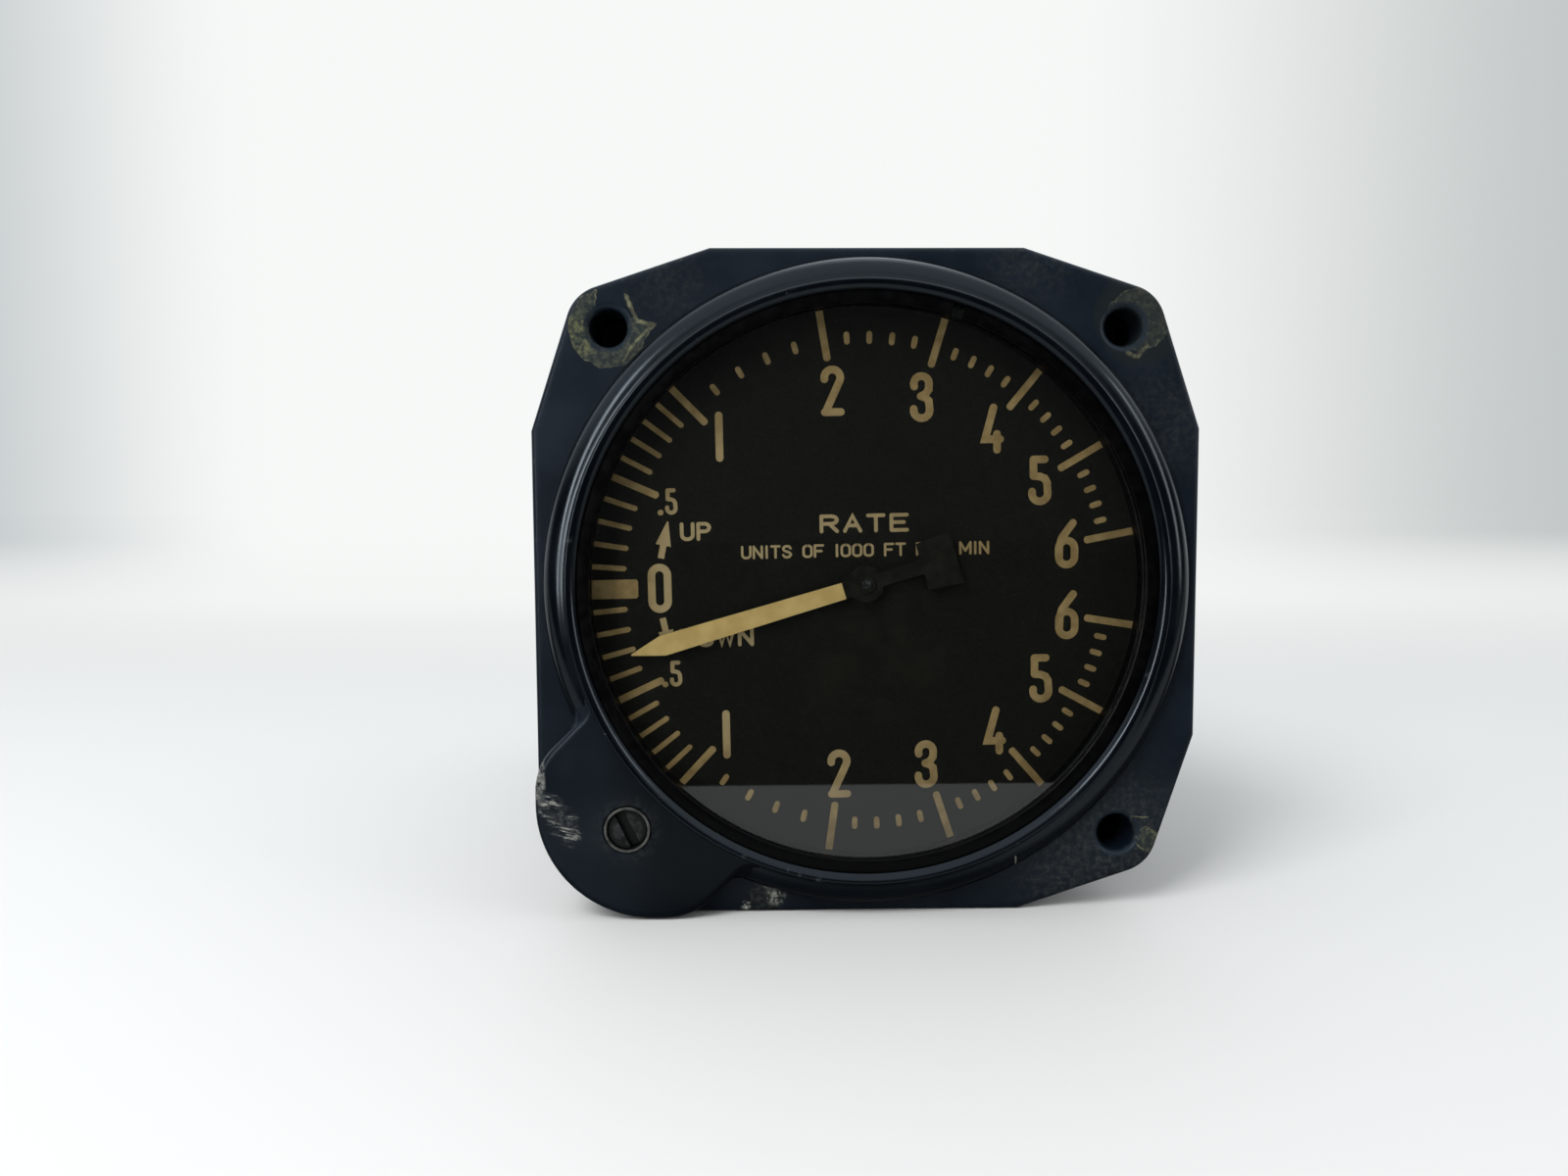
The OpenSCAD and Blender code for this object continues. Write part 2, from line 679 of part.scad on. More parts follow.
module handstaff() {
    color("#c9ccd0") {
        rod_y(staff_tip_r, pointer_y - 0.4, plate_y - 0.15);
        rod_y(pivot_r, plate_y - 0.16, rear_plate_y - 0.2);
        rod_y(staff_tip_r, rear_plate_y - 0.21, rear_face_y);
    }
}

// Gears

// Radius and angle of a tooth flank that a small circle rolls out
function rolled(pitch_r, roll_r, psi) =
    let (th = psi * roll_r / pitch_r,
        x = (pitch_r + roll_r) * cos(th) - roll_r * cos(th + psi),
        z = (pitch_r + roll_r) * sin(th) - roll_r * sin(th + psi))
    [norm([x, z]), atan2(z, x)];
roll_r = pinion_pr / 2;
wheel_psi = acos(1 - wheel_addendum / (roll_r * (1 + roll_r / sector_pr)));
wheel_half_deg = tooth_half / sector_pr * 180 / PI;
leaf_half_deg = tooth_half / pinion_pr * 180 / PI;
wheel_root_r = sector_pr - leaf_addendum - 0.15;
leaf_root_r = pinion_pr - wheel_addendum - 0.12;
flank_steps = 3;

function wheel_tooth(a) =
    concat([pol(wheel_root_r, a - wheel_half_deg)],
        [for (i = [0:flank_steps]) let (e = rolled(sector_pr, roll_r, wheel_psi * i / flank_steps))
            pol(e[0], a - wheel_half_deg + e[1])],
        [for (i = [flank_steps:-1:0]) let (e = rolled(sector_pr, roll_r, wheel_psi * i / flank_steps))
            pol(e[0], a + wheel_half_deg - e[1])],
        [pol(wheel_root_r, a + wheel_half_deg)]);

function pinion_leaf(a) =
    concat([pol(leaf_root_r, a - leaf_half_deg)],
        [for (t = [0:45:180]) pol(pinion_pr + leaf_addendum * sin(t), a - leaf_half_deg * cos(t))],
        [pol(leaf_root_r, a + leaf_half_deg)]);

blade_half_deg = (sector_teeth - 1) / 2 * sector_pitch_deg + 1;
blade_neck = 2;

module sector_blade() {
    side = (sector_teeth - 1) / 2;
    difference() {
        polygon(concat([pol(blade_neck, -90), pol(wheel_root_r, -blade_half_deg)],
            [for (k = [-side:side]) each wheel_tooth(k * sector_pitch_deg)],
            [pol(wheel_root_r, blade_half_deg), pol(blade_neck, 90)]));
        polygon(concat(arc_points([0, 0], wheel_root_r - 2.2, -blade_half_deg + 5, blade_half_deg - 5, 8),
            arc_points([0, 0], 6.5, 8, -8, 2)));
    }
}

module sector_gear() {
    color("#b5924c") sector_frame() difference() {
        union() {
            along_y(sector_y, sector_y + sector_t) rotate(sector_dir) sector_blade();
            rod_y(3, sector_y - 0.2, sector_y + sector_t + 0.8);
        }
        rod_y(pivot_r + 0.22, sector_y - 1, sector_y + sector_t + 2);
    }
}

module sector_arbor() {
    color("#c9ccd0") sector_frame() {
        rod_y(pivot_r, plate_y + 0.3, seat_y + 0.1);
        rod_y(pivot_r + 0.2, seat_y + 0.09, rear_plate_y - 0.1);
        rod_y(pivot_r, rear_plate_y - 0.11, tail_y + 2.4);
    }
}

weight_len = 8;
weight_r = 3.5;
module sector_counterweight() {
    color("#b5924c") sector_frame() difference() {
        union() {
            translate([0, 0, -weight_len]) rod_y(weight_r, sector_y + sector_t, sector_y + sector_t + 3);
            translate([-1, sector_y + sector_t, -weight_len]) cube([2, 0.8, weight_len]);
        }
        rod_y(3.05, sector_y, sector_y + sector_t + 2);
    }
}

module sector_tail() {
    color("#c9ccd0") sector_frame() difference() {
        union() {
            rod_y(hub_r, tail_y - 1.8, tail_y + 1.8);
            translate([0, tail_y, 0]) rod_x(tail_r, 0, crank + 2);
        }
        rod_y(pivot_r + 0.01, tail_y - 3, tail_y + 3);
    }
}

module pinion() {
    color("#c9ccd0") pointer_frame() difference() {
        along_y(pinion_y, pinion_y + sector_t + 0.6)
            rotate(sector_dir + 180 + 180 / pinion_teeth)
                polygon([for (k = [0:pinion_teeth - 1]) each pinion_leaf(k * 360 / pinion_teeth)]);
        rod_y(pivot_r + 0.01, pinion_y - 1, pinion_y + sector_t + 2);
    }
}

// Hairspring

collet_r = 2.2;
spring_w = 0.2;
spring_in_r = collet_r + spring_w / 2;
spring_out_r = 7.6;
spring_steps = 16;
stud_deg = 60;

module hairspring_collet() {
    color("#b5924c") pointer_frame()
        tube_y(collet_r, pivot_r + 0.01, spring_y - 0.1, spring_y + spring_t + 0.2);
}

module hairspring() {
    n = hairspring_turns * spring_steps;
    color("#6f7f9a") along_y(spring_y, spring_y + spring_t)
        polygon(ribbon([for (i = [0:n])
            pol(spring_in_r + (spring_out_r - spring_in_r) * i / n, stud_deg + i * 360 / spring_steps)],
            spring_w));
}

module hairspring_stud() {
    color("#b5924c") at_polar(spring_out_r + spring_w / 2 + 0.9, stud_deg)
        rod_y(0.9, spring_y - 0.1, rear_plate_y);
}

// Movement frame

module front_plate() {
    color("#b7a169") difference() {
        rod_y(plate_r, plate_y, seat_y);
        rod_y(pivot_r + run_fit, plate_y - 1, seat_y + 1);
        translate([sector_x, 0, sector_z]) rod_y(pivot_r + run_fit, plate_y - 1, seat_y + 1);
        on_diagonal(lever_pivot_r) rod_y(pivot_r + run_fit, plate_y - 1, seat_y + 1);
        for (a = movement_screw_angles) at_polar(movement_screw_pcr, a) {
            rod_y(screw_r + 0.05, plate_y - 1, seat_y + 1);
            rod_y(1.6, plate_y - 1, plate_y + 1.1);
        }
        for (a = short_pillar_angles) at_polar(short_pillar_pcr, a) {
            rod_y(screw_r + 0.05, plate_y - 1, seat_y + 1);
            rod_y(1.9, plate_y - 1, plate_y + 1.1);
        }
        for (a = dial_foot_angles) at_polar(dial_foot_pcr, a) rod_y(0.85, plate_y - 1, seat_y + 1);
    }
}

module movement_screws() {
    color("#9a9da2") for (a = movement_screw_angles)
        at_polar(movement_screw_pcr, a) screw_back(plate_y + 1.1, shoulder_len - 0.2, 1.5, 1);
}

module front_plate_screws() {
    color("#9a9da2") for (a = short_pillar_angles)
        at_polar(short_pillar_pcr, a) screw_back(plate_y + 1.1, 4.4, 1.8, 1);
}

module short_pillars() {
    color("#b7a169") for (a = short_pillar_angles) at_polar(short_pillar_pcr, a) difference() {
        rod_y(pillar_r, seat_y, rear_plate_y);
        rod_y(screw_r + 0.05, seat_y - 1, seat_y + 4);
        rod_y(screw_r + 0.05, rear_plate_y - 4, rear_plate_y + 1);
    }
}

module rear_plate() {
    color("#b7a169") difference() {
        rod_y(rear_plate_r, rear_plate_y, rear_face_y);
        rod_y(staff_tip_r + run_fit, rear_plate_y - 1, rear_face_y + 1);
        translate([sector_x, 0, sector_z]) rod_y(pivot_r + run_fit, rear_plate_y - 1, rear_face_y + 1);
        on_diagonal(lever_pivot_r) rod_y(pivot_r + 0.5 + run_fit, rear_plate_y - 1, rear_face_y + 1);
        for (a = short_pillar_angles) at_polar(short_pillar_pcr, a)
            rod_y(screw_r + 0.05, rear_plate_y - 1, rear_face_y + 1);
        for (a = long_pillar_angles) at_polar(long_pillar_pcr, a)
            rod_y(screw_r + 0.05, rear_plate_y - 1, rear_face_y + 1);
        for (x = bracket_screw_x) translate([x, 0, rock_z])
            rod_y(screw_r + 0.05, rear_plate_y - 1, rear_face_y + 1);
    }
}

module rear_plate_screws() {
    color("#9a9da2") for (a = short_pillar_angles)
        at_polar(short_pillar_pcr, a) screw_front(rear_face_y, rear_plate_t + 3.5, 1.8, 1.1);
}

stop_r = 0.8;
stop_pcr = 15;
stop_gap = 0.15;
blade_edge_deg = atan2(wheel_root_r * sin(blade_half_deg) - blade_neck, wheel_root_r * cos(blade_half_deg));
stop_deg = sector_reach + blade_edge_deg
    + asin((stop_r + stop_gap + blade_neck * cos(blade_edge_deg)) / stop_pcr);
module stop_pins() {
    color("#c9ccd0") translate([sector_x, 0, sector_z]) for (s = [-1, 1])
        at_polar(stop_pcr, sector_dir + s * stop_deg) rod_y(stop_r, seat_y, sector_y + sector_t + 0.6);
}

module long_pillars() {
    color("#b7a169") for (a = long_pillar_angles) at_polar(long_pillar_pcr, a) difference() {
        union() {
            rod_y(pillar_r, rear_face_y, cap_plate_y);
            rod_y(screw_r, rear_plate_y + 0.2, rear_face_y + 0.01);
        }
        rod_y(screw_r + 0.05, cap_plate_y - 5, cap_plate_y + 1);
    }
}

// Rocking shaft

foot_len = 6;
bracket_w = 6;
bracket_screw_x = [bracket_x[0] + bracket_t + foot_len / 2, bracket_x[1] - foot_len / 2];

module rocker_brackets() {
    color("#b7a169") for (i = [0, 1]) {
        foot_x = i == 0 ? bracket_x[0] : bracket_x[1] - foot_len;
        difference() {
            union() {
                translate([bracket_x[i], rear_face_y, rock_z - bracket_w / 2])
                    cube([bracket_t, rock_y - rear_face_y, bracket_w]);
                translate([0, rock_y, rock_z]) rod_x(bracket_w / 2, bracket_x[i], bracket_x[i] + bracket_t);
                translate([foot_x, rear_face_y, rock_z - bracket_w / 2])
                    cube([foot_len + bracket_t, 1.5, bracket_w]);
            }
            translate([0, rock_y, rock_z])
                rod_x(pivot_r + run_fit, bracket_x[i] - 1, bracket_x[i] + bracket_t + 1);
            translate([bracket_screw_x[i], 0, rock_z])
                rod_y(screw_r + 0.05, rear_face_y - 1, rear_face_y + 3);
        }
    }
}

module bracket_screws() {
    color("#9a9da2") for (x = bracket_screw_x)
        translate([x, 0, rock_z]) screw_front(rear_face_y + 1.5, rear_plate_t + 1.4, 1.7, 1);
}

module rocking_shaft() {
    color("#c9ccd0") rocker_frame() {
        rod_x(pivot_r, finger_x - hub_r + 0.4, bracket_x[0] + bracket_t + 0.21);
        rod_x(rock_r, bracket_x[0] + bracket_t + 0.2, bracket_x[1] - 0.2);
        rod_x(pivot_r, bracket_x[1] - 0.21, bracket_x[1] + bracket_t + 0.4);
    }
}

module finger_arm() {
    color("#c9ccd0") rocker_frame() translate([finger_x, 0, 0]) difference() {
        union() {
            rod_x(hub_r, -hub_r + 0.4, hub_r - 0.4);
            rod_y(finger_r, -crank - 2, 0);
        }
        rod_x(pivot_r + 0.01, -hub_r - 1, hub_r + 1);
    }
}

arm_t = 1;
link_x = arm_t / 2 + 0.35;
module link_arm() {
    color("#b5924c") rocker_frame() {
        difference() {
            union() {
                rod_x(rock_r + 1.1, -1.5, 1.5);
                translate([-arm_t / 2, -1, 0]) cube([arm_t, 2, link_arm_len]);
                translate([0, 0, link_arm_len]) rod_x(1, -arm_t / 2, arm_t / 2);
            }
            rod_x(rock_r + 0.01, -3, 3);
        }
        translate([0, 0, link_arm_len]) rod_x(link_pin_r, arm_t / 2 - 0.01, link_x + arm_t + 0.5);
    }
}

// Capsule. At rest the link pin stands a little off mid travel

link_rest_y = rock_y - link_arm_len * sin(sector_rest);
post_r = 3;
post_front_y = capsule_front_y - 4;
link_eye_r = link_pin_r + link_clear;

module link() {
    color("#b5924c") difference() {
        union() {
            translate([0, link_rest_y, 0]) rod_x(link_eye_r + 0.9, link_x, link_x + arm_t);
            translate([link_x, link_rest_y, -1]) cube([arm_t, post_front_y + 3 - link_rest_y, 2]);
        }
        translate([0, link_rest_y, 0]) rod_x(link_eye_r, link_x - 1, link_x + arm_t + 1);
    }
}

module capsule_post() {
    color("#b5924c") difference() {
        union() {
            rod_y(post_r, capsule_front_y - 0.6, capsule_front_y);
            rod_y(2.2, post_front_y, capsule_front_y - 0.59);
        }
        translate([link_x, post_front_y - 1, -3]) cube([arm_t, 4, 6]);
    }
}

// Corrugated face from the centre out to the rim, as [radius, y] points
wave_steps = 6;
function wave_line(y0, y1) =
    [for (i = [0:waves * wave_steps]) let (f = i / (waves * wave_steps))
        [post_r + (capsule_r - 1.5 - post_r) * f,
            y0 + (y1 - y0) * f * f + wave_h / 2 * sin(360 * waves * f)]];

module capsule_face(y_centre, y_rim) {
    line = concat([[0.8, y_centre]], wave_line(y_centre, y_rim), [[capsule_r, y_rim]]);
    about_y(concat(line, [for (i = [len(line) - 1:-1:0]) line[i] + [0, diaphragm_t]]));
}

module capsule_front_diaphragm() {
    color("#a9854a") capsule_face(capsule_front_y, rim_y - diaphragm_t);
}

module capsule_rear_diaphragm() {
    color("#a9854a") difference() {
        capsule_face(capsule_back_y - diaphragm_t, rim_y);
        rod_y(1.5, rim_y, capsule_back_y + 1);
    }
}

boss_tube_r = 2.5;
tube_r = 1.6;
tube_bore_r = 0.9;
block_w = 20;
block_h = 20;
block_len = 11;
module capsule_base() {
    color("#b5924c") difference() {
        union() {
            rod_y(post_r - 0.1, capsule_back_y, leaf_y);
            rod_y(boss_tube_r, leaf_y - 0.01, cap_plate_back_y + 2);
        }
        rod_y(tube_bore_r, capsule_back_y - 1, cap_plate_back_y + 3);
    }
}

module capsule_leaf() {
    color("#8f9aa8") difference() {
        on_diagonal(0) translate([-leaf_reach, leaf_y, -3.5]) cube([2 * leaf_reach, leaf_t, 7]);
        rod_y(boss_tube_r + 0.02, leaf_y - 1, leaf_y + 2);
        on_diagonal(-leaf_reach + 4) rod_y(screw_r + 0.05, leaf_y - 1, leaf_y + 2);
    }
}

module leaf_spacer() {
    color("#8f9aa8") difference() {
        on_diagonal(0) translate([-leaf_reach, leaf_y + leaf_t, -3.5]) cube([8, leaf_gap, 7]);
        on_diagonal(-leaf_reach + 4) rod_y(screw_r + 0.05, leaf_y, cap_plate_y + 1);
    }
}

module capsule_plate() {
    color("#b7a169") difference() {
        rod_y(rear_plate_r, cap_plate_y, cap_plate_back_y);
        rod_y(7, cap_plate_y - 1, cap_plate_back_y + 1);
        for (a = long_pillar_angles) at_polar(long_pillar_pcr, a)
            rod_y(screw_r + 0.05, cap_plate_y - 1, cap_plate_back_y + 1);
        on_diagonal(lever_pivot_r) rod_y(pivot_r + run_fit, cap_plate_y - 1, cap_plate_back_y + 1);
        on_diagonal(-leaf_reach + 4) rod_y(screw_r + 0.05, cap_plate_y - 1, cap_plate_back_y + 1);
    }
}

module capsule_plate_screws() {
    color("#9a9da2") {
        for (a = long_pillar_angles) at_polar(long_pillar_pcr, a)
            screw_front(cap_plate_back_y, rear_plate_t + 4, 1.8, 1.1);
        on_diagonal(-leaf_reach + 4)
            screw_front(cap_plate_back_y, rear_plate_t + leaf_gap + leaf_t, 1.8, 1.1);
    }
}

module manifold_block() {
    color("#b7a169") difference() {
        translate([-block_w / 2, cap_plate_back_y, -block_h / 2]) cube([block_w, block_len, block_h]);
        rod_y(boss_tube_r + 0.05, cap_plate_back_y - 1, cap_plate_back_y + 2.5);
        rod_y(tube_r + 0.02, cap_plate_back_y + block_len - 4, cap_plate_back_y + block_len + 1);
        rod_y(tube_bore_r, cap_plate_back_y, cap_plate_back_y + block_len);
        translate([0, cap_plate_back_y + block_len / 2, 0]) cylinder(r = tube_bore_r, h = block_h);
    }
}

restrictor_len = 16;
module restrictor() {
    color("#b5924c") translate([0, cap_plate_back_y + block_len / 2, block_h / 2]) difference() {
        cylinder(r = 5, h = restrictor_len);
        translate([0, 0, -1]) cylinder(r = tube_bore_r, h = 3);
        translate([0, 0, 1.9]) cylinder(r = 3.6, h = restrictor_len);
    }
}

module restrictor_plug() {
    color("#9a9da2") translate([0, cap_plate_back_y + block_len / 2, block_h / 2 + restrictor_len]) {
        cylinder(r = 5, h = 2.5, $fn = 6);
        translate([0, 0, -3]) cylinder(r = 3.55, h = 3.01);
    }
}

fitting_front_y = cover_y - 6;
module feed_tube() {
    color("#b87345") tube_y(tube_r, tube_bore_r, cap_plate_back_y + block_len - 4, fitting_front_y + 3);
}

// Zero setter

module zero_bushing() {
    color("#8d9096") on_diagonal(setter_r) difference() {
        rod_y(bushing_r, lobe_y, seat_y - 1.2);
        rod_y(setter_head_r + 0.05, lobe_y - 1, lobe_y + 2.2);
        rod_y(setter_shaft_r + run_fit, lobe_y, seat_y);
    }
}

module zero_packing() {
    color("#101010") on_diagonal(setter_r)
        tube_y(bushing_r, setter_shaft_r + 0.05, seat_y - 1.2, cavity_y);
}

setter_disc_r = eccentric + eccentric_pin_r + 0.2;
module zero_screw() {
    color("#9a9da2") on_diagonal(setter_r) {
        difference() {
            rod_y(setter_head_r, lobe_y + 0.4, lobe_y + 2.1);
            turned(diagonal - slot_angle)
                translate([-4, lobe_y - 1, -0.6]) cube([8, 2.2, 1.2]);
        }
        rod_y(setter_shaft_r, lobe_y + 2.09, cavity_y + 0.21);
        rod_y(setter_disc_r, cavity_y + 0.2, cavity_y + 0.9);
        translate([-eccentric, 0, 0]) rod_y(eccentric_pin_r, cavity_y + 0.89, lever_y + lever_t + 0.6);
    }
}

lever_reach = pin_r_out - lever_pivot_r;
slot_half_w = eccentric_pin_r + slot_clear;
module zero_lever() {
    color("#8f9aa8") on_diagonal(lever_pivot_r) difference() {
        union() {
            rod_y(3, lever_y - 0.4, lever_y + lever_t + 0.4);
            along_y(lever_y, lever_y + lever_t)
                polygon([[0, -2.2], [lever_reach + 2.6, -2], [lever_reach + 2.6, 2], [0, 2.2]]);
        }
        rod_y(1.5 + 0.01, lever_y - 1, lever_y + lever_t + 1);
        translate([lever_reach - 1.6, lever_y - 1, -slot_half_w]) cube([8, lever_t + 2, 2 * slot_half_w]);
    }
}

cam_len = 3.4;
cam_y = leaf_y - 0.4 - cam_len;
module zero_shaft() {
    color("#c9ccd0") on_diagonal(lever_pivot_r) {
        rod_y(pivot_r, plate_y + 0.5, seat_y + 0.15);
        rod_y(pivot_r + 0.5, seat_y + 0.14, leaf_y - 0.4);
        rod_y(pivot_r, leaf_y - 0.41, cap_plate_back_y);
    }
}

module zero_cam() {
    color("#8f9aa8") on_diagonal(lever_pivot_r) difference() {
        rod_y(cam_r, cam_y, cam_y + cam_len);
        rod_y(pivot_r + 0.51, cam_y - 1, cam_y + cam_len + 1);
        translate([0, cam_y + cam_len - 0.7, 0]) rotate([20, 0, 0])
            translate([-5, 0, -6]) cube([10, 5, 12]);
    }
}

// Back

module rear_gasket() {
    color("#101010") difference() {
        tube_y(cover_r - 0.2, cover_screw_pcr - 1.6, barrel_len, cover_y);
        for (i = [0:cover_screws - 1]) at_polar(cover_screw_pcr, 90 + i * 360 / cover_screws)
            rod_y(screw_r + 0.15, barrel_len - 1, cover_y + 1);
    }
}

module rear_cover() {
    color("#20242c") difference() {
        about_y([[0, cover_y], [cover_r, cover_y], [cover_r, cover_back_y - 0.6],
            [cover_r - 0.6, cover_back_y], [0, cover_back_y]]);
        rod_y(port_flats / 2 - 0.9, cover_y - 1, cover_back_y + 1);
        for (i = [0:cover_screws - 1]) at_polar(cover_screw_pcr, 90 + i * 360 / cover_screws)
            rod_y(screw_r + 0.1, cover_y - 1, cover_back_y + 1);
    }
}

module rear_cover_screws() {
    color("#9a9da2") for (i = [0:cover_screws - 1])
        at_polar(cover_screw_pcr, 90 + i * 360 / cover_screws)
            screw_front(cover_back_y, cover_t + rear_gasket_t + 5, 2, 1.3);
}

fitting_r = port_flats / 2 - 1;
module static_fitting() {
    color("#9c8f6a") difference() {
        union() {
            rod_y(fitting_r, fitting_front_y, cover_back_y + 0.01);
            translate([0, cover_back_y, 0]) rotate([-90, 0, 0])
                cylinder(r = port_flats / 2 / cos(30), h = 4, $fn = 6);
            rod_y(port_flats / 2 - 0.6, cover_back_y + 3.99, cover_back_y + port_len);
        }
        rod_y(port_r, cover_back_y + port_len - port_depth, cover_back_y + port_len + 1);
        rod_y(tube_bore_r, fitting_front_y - 1, cover_back_y + port_len);
        rod_y(tube_r + 0.02, fitting_front_y - 1, fitting_front_y + 3);
    }
}

module fitting_nut() {
    color("#9c8f6a") difference() {
        translate([0, cover_y - 3, 0]) rotate([-90, 0, 0]) cylinder(r = port_flats / 2 + 3, h = 3, $fn = 6);
        rod_y(fitting_r + 0.05, cover_y - 4, cover_y + 1);
    }
}

case();
glass();
glass_gasket();
retaining_ring();
spacer_ring();
dial();
dial_markings();
dial_feet();
dial_nuts();
front_plate();
movement_screws();
rear_plate();
short_pillars();
front_plate_screws();
rear_plate_screws();
stop_pins();
pointer();
pointer_paint();
pointer_hub();
handstaff();
pinion();
hairspring_collet();
hairspring();
hairspring_stud();
sector_gear();
sector_arbor();
sector_counterweight();
sector_tail();
rocking_shaft();
finger_arm();
link_arm();
rocker_brackets();
bracket_screws();
link();
capsule_post();
capsule_front_diaphragm();
capsule_rear_diaphragm();
capsule_base();
capsule_leaf();
leaf_spacer();
capsule_plate();
long_pillars();
capsule_plate_screws();
manifold_block();
restrictor();
restrictor_plug();
feed_tube();
zero_screw();
zero_bushing();
zero_packing();
zero_lever();
zero_shaft();
zero_cam();
rear_cover();
rear_gasket();
rear_cover_screws();
static_fitting();
fitting_nut();
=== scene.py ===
# %% [markdown]
# # Dressing a vertical speed indicator
# The instrument is a cast and turned case with a square flange, a window held in by a split ring,
# a black dial, and one long cream pointer. The CAD frame already has every working piece in place.
# This lesson gives the outside its soft edges, its worn paint and its light, one piece at a time.

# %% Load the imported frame
import json
from math import atan2, cos, degrees, pi, radians, sin, sqrt

import bmesh
import bpy
from mathutils import Matrix, Vector
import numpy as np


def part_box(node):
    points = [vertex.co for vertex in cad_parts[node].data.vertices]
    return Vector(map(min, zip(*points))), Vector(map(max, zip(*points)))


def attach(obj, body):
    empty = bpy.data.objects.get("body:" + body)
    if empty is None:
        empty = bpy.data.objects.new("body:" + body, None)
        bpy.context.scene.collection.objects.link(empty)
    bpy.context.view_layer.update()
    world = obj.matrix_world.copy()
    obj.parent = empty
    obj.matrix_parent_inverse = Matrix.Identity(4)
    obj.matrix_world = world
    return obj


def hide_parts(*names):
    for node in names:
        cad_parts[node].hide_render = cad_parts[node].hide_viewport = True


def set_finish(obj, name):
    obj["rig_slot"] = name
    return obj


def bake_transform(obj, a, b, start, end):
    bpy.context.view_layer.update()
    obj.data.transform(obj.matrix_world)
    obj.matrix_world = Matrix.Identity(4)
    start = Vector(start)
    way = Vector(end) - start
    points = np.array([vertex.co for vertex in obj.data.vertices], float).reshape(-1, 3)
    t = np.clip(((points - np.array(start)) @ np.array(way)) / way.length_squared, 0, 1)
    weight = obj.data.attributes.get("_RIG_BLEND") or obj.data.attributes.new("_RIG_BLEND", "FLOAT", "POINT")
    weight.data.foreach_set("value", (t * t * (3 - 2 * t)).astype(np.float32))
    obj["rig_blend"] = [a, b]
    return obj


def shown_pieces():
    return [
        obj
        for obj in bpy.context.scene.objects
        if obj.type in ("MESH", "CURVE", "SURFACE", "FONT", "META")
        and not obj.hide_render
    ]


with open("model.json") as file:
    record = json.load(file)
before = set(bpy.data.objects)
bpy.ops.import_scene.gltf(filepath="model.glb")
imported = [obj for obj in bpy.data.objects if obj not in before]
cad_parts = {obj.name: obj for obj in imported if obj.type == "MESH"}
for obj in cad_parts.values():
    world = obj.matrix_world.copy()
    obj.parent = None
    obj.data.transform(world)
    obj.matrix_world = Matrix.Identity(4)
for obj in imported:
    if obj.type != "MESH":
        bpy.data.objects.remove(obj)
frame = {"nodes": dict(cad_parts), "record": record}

MM = 0.001
scene = bpy.context.scene
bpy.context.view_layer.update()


def placed(name, data):
    """A new object with this data, in the scene."""
    made = bpy.data.objects.new(name, data)
    scene.collection.objects.link(made)
    return made


# %% [markdown]
# ## The camera
# A camera matched to a photograph needs three things: where it stood, which way it looked, and its lens.
# It could be placed by eye, but the square flange and its three holes give enough known points to solve
# for it, so the place and the three small turns below are written as plain measured values.

# %% Place the camera
photo_width = 1600
focal_pixels = 1155
sensor = 36
camera_place = Vector((-12.74, -143.88, 9.60)) * MM
yaw, pitch, roll = -0.0178, -0.0708, 0.0051

turn = Matrix.Rotation(yaw, 3, "Z") @ Matrix.Rotation(pitch, 3, "X") @ Matrix.Rotation(roll, 3, "Y")
camera_data = bpy.data.cameras.new("camera")
camera_data.sensor_width = sensor
camera_data.lens = sensor * focal_pixels / photo_width
camera_data.clip_start, camera_data.clip_end = 0.005, 20
camera = placed("camera", camera_data)
camera.matrix_world = Matrix.Translation(camera_place) @ (turn @ Matrix.Rotation(pi / 2, 3, "X")).to_4x4()
scene.camera = camera
print("lens, mm:", round(camera_data.lens, 2))

# %% [markdown]
# ## Helpers for pieces
# Every new piece starts as a bmesh and ends the same way: doubles merged, normals turned out, worn edges
# marked, and the piece tied to the body it moves with. The worn edges are found from the shape itself:
# a point where small faces turn a convex corner is where paint rubs off, so it gets a value from 0 to 1.

# %% Find the edges that would wear
broad_face = 12 * MM * MM
slight_bend, full_wear_bend = radians(6), radians(30)


def mark_wear(bm):
    """Stores 0 on flat and broad places and up to 1 along small convex roundings."""
    wear = bm.verts.layers.float.new("wear")
    for v in bm.verts:
        if any(f.calc_area() > broad_face for f in v.link_faces):
            continue
        bends = [e.calc_face_angle_signed(0) for e in v.link_edges if len(e.link_faces) == 2]
        sharpest = max(bends, default=0)
        v[wear] = min(1, sharpest / full_wear_bend) if sharpest > slight_bend else 0


# %% Turn a bmesh into a piece
weld = 0.0005 * MM
sharp_corner = 34


def to_mesh(bm, name):
    """Writes a bmesh out as a mesh and frees it."""
    mesh = bpy.data.meshes.new(name)
    bm.to_mesh(mesh)
    bm.free()
    return mesh


def make_piece(name, bm, body, slot, stands_for=(), sharp=sharp_corner):
    """Closes the bmesh into an object with smooth faces and sharp edges above an angle in degrees.

    A piece that will bend between two bodies rides on neither, so its body is None.
    """
    bmesh.ops.remove_doubles(bm, verts=bm.verts, dist=weld)
    bmesh.ops.recalc_face_normals(bm, faces=bm.faces)
    mark_wear(bm)
    mesh = to_mesh(bm, name)
    mesh.shade_smooth()
    mesh.set_sharp_from_angle(angle=radians(sharp))
    piece = placed(name, mesh)
    even = piece.modifiers.new("even normals", "WEIGHTED_NORMAL")
    even.keep_sharp = True
    if body:
        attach(piece, body)
    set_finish(piece, slot)
    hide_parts(*stands_for)
    print(f"{name}: {len(mesh.polygons)} faces")
    return piece


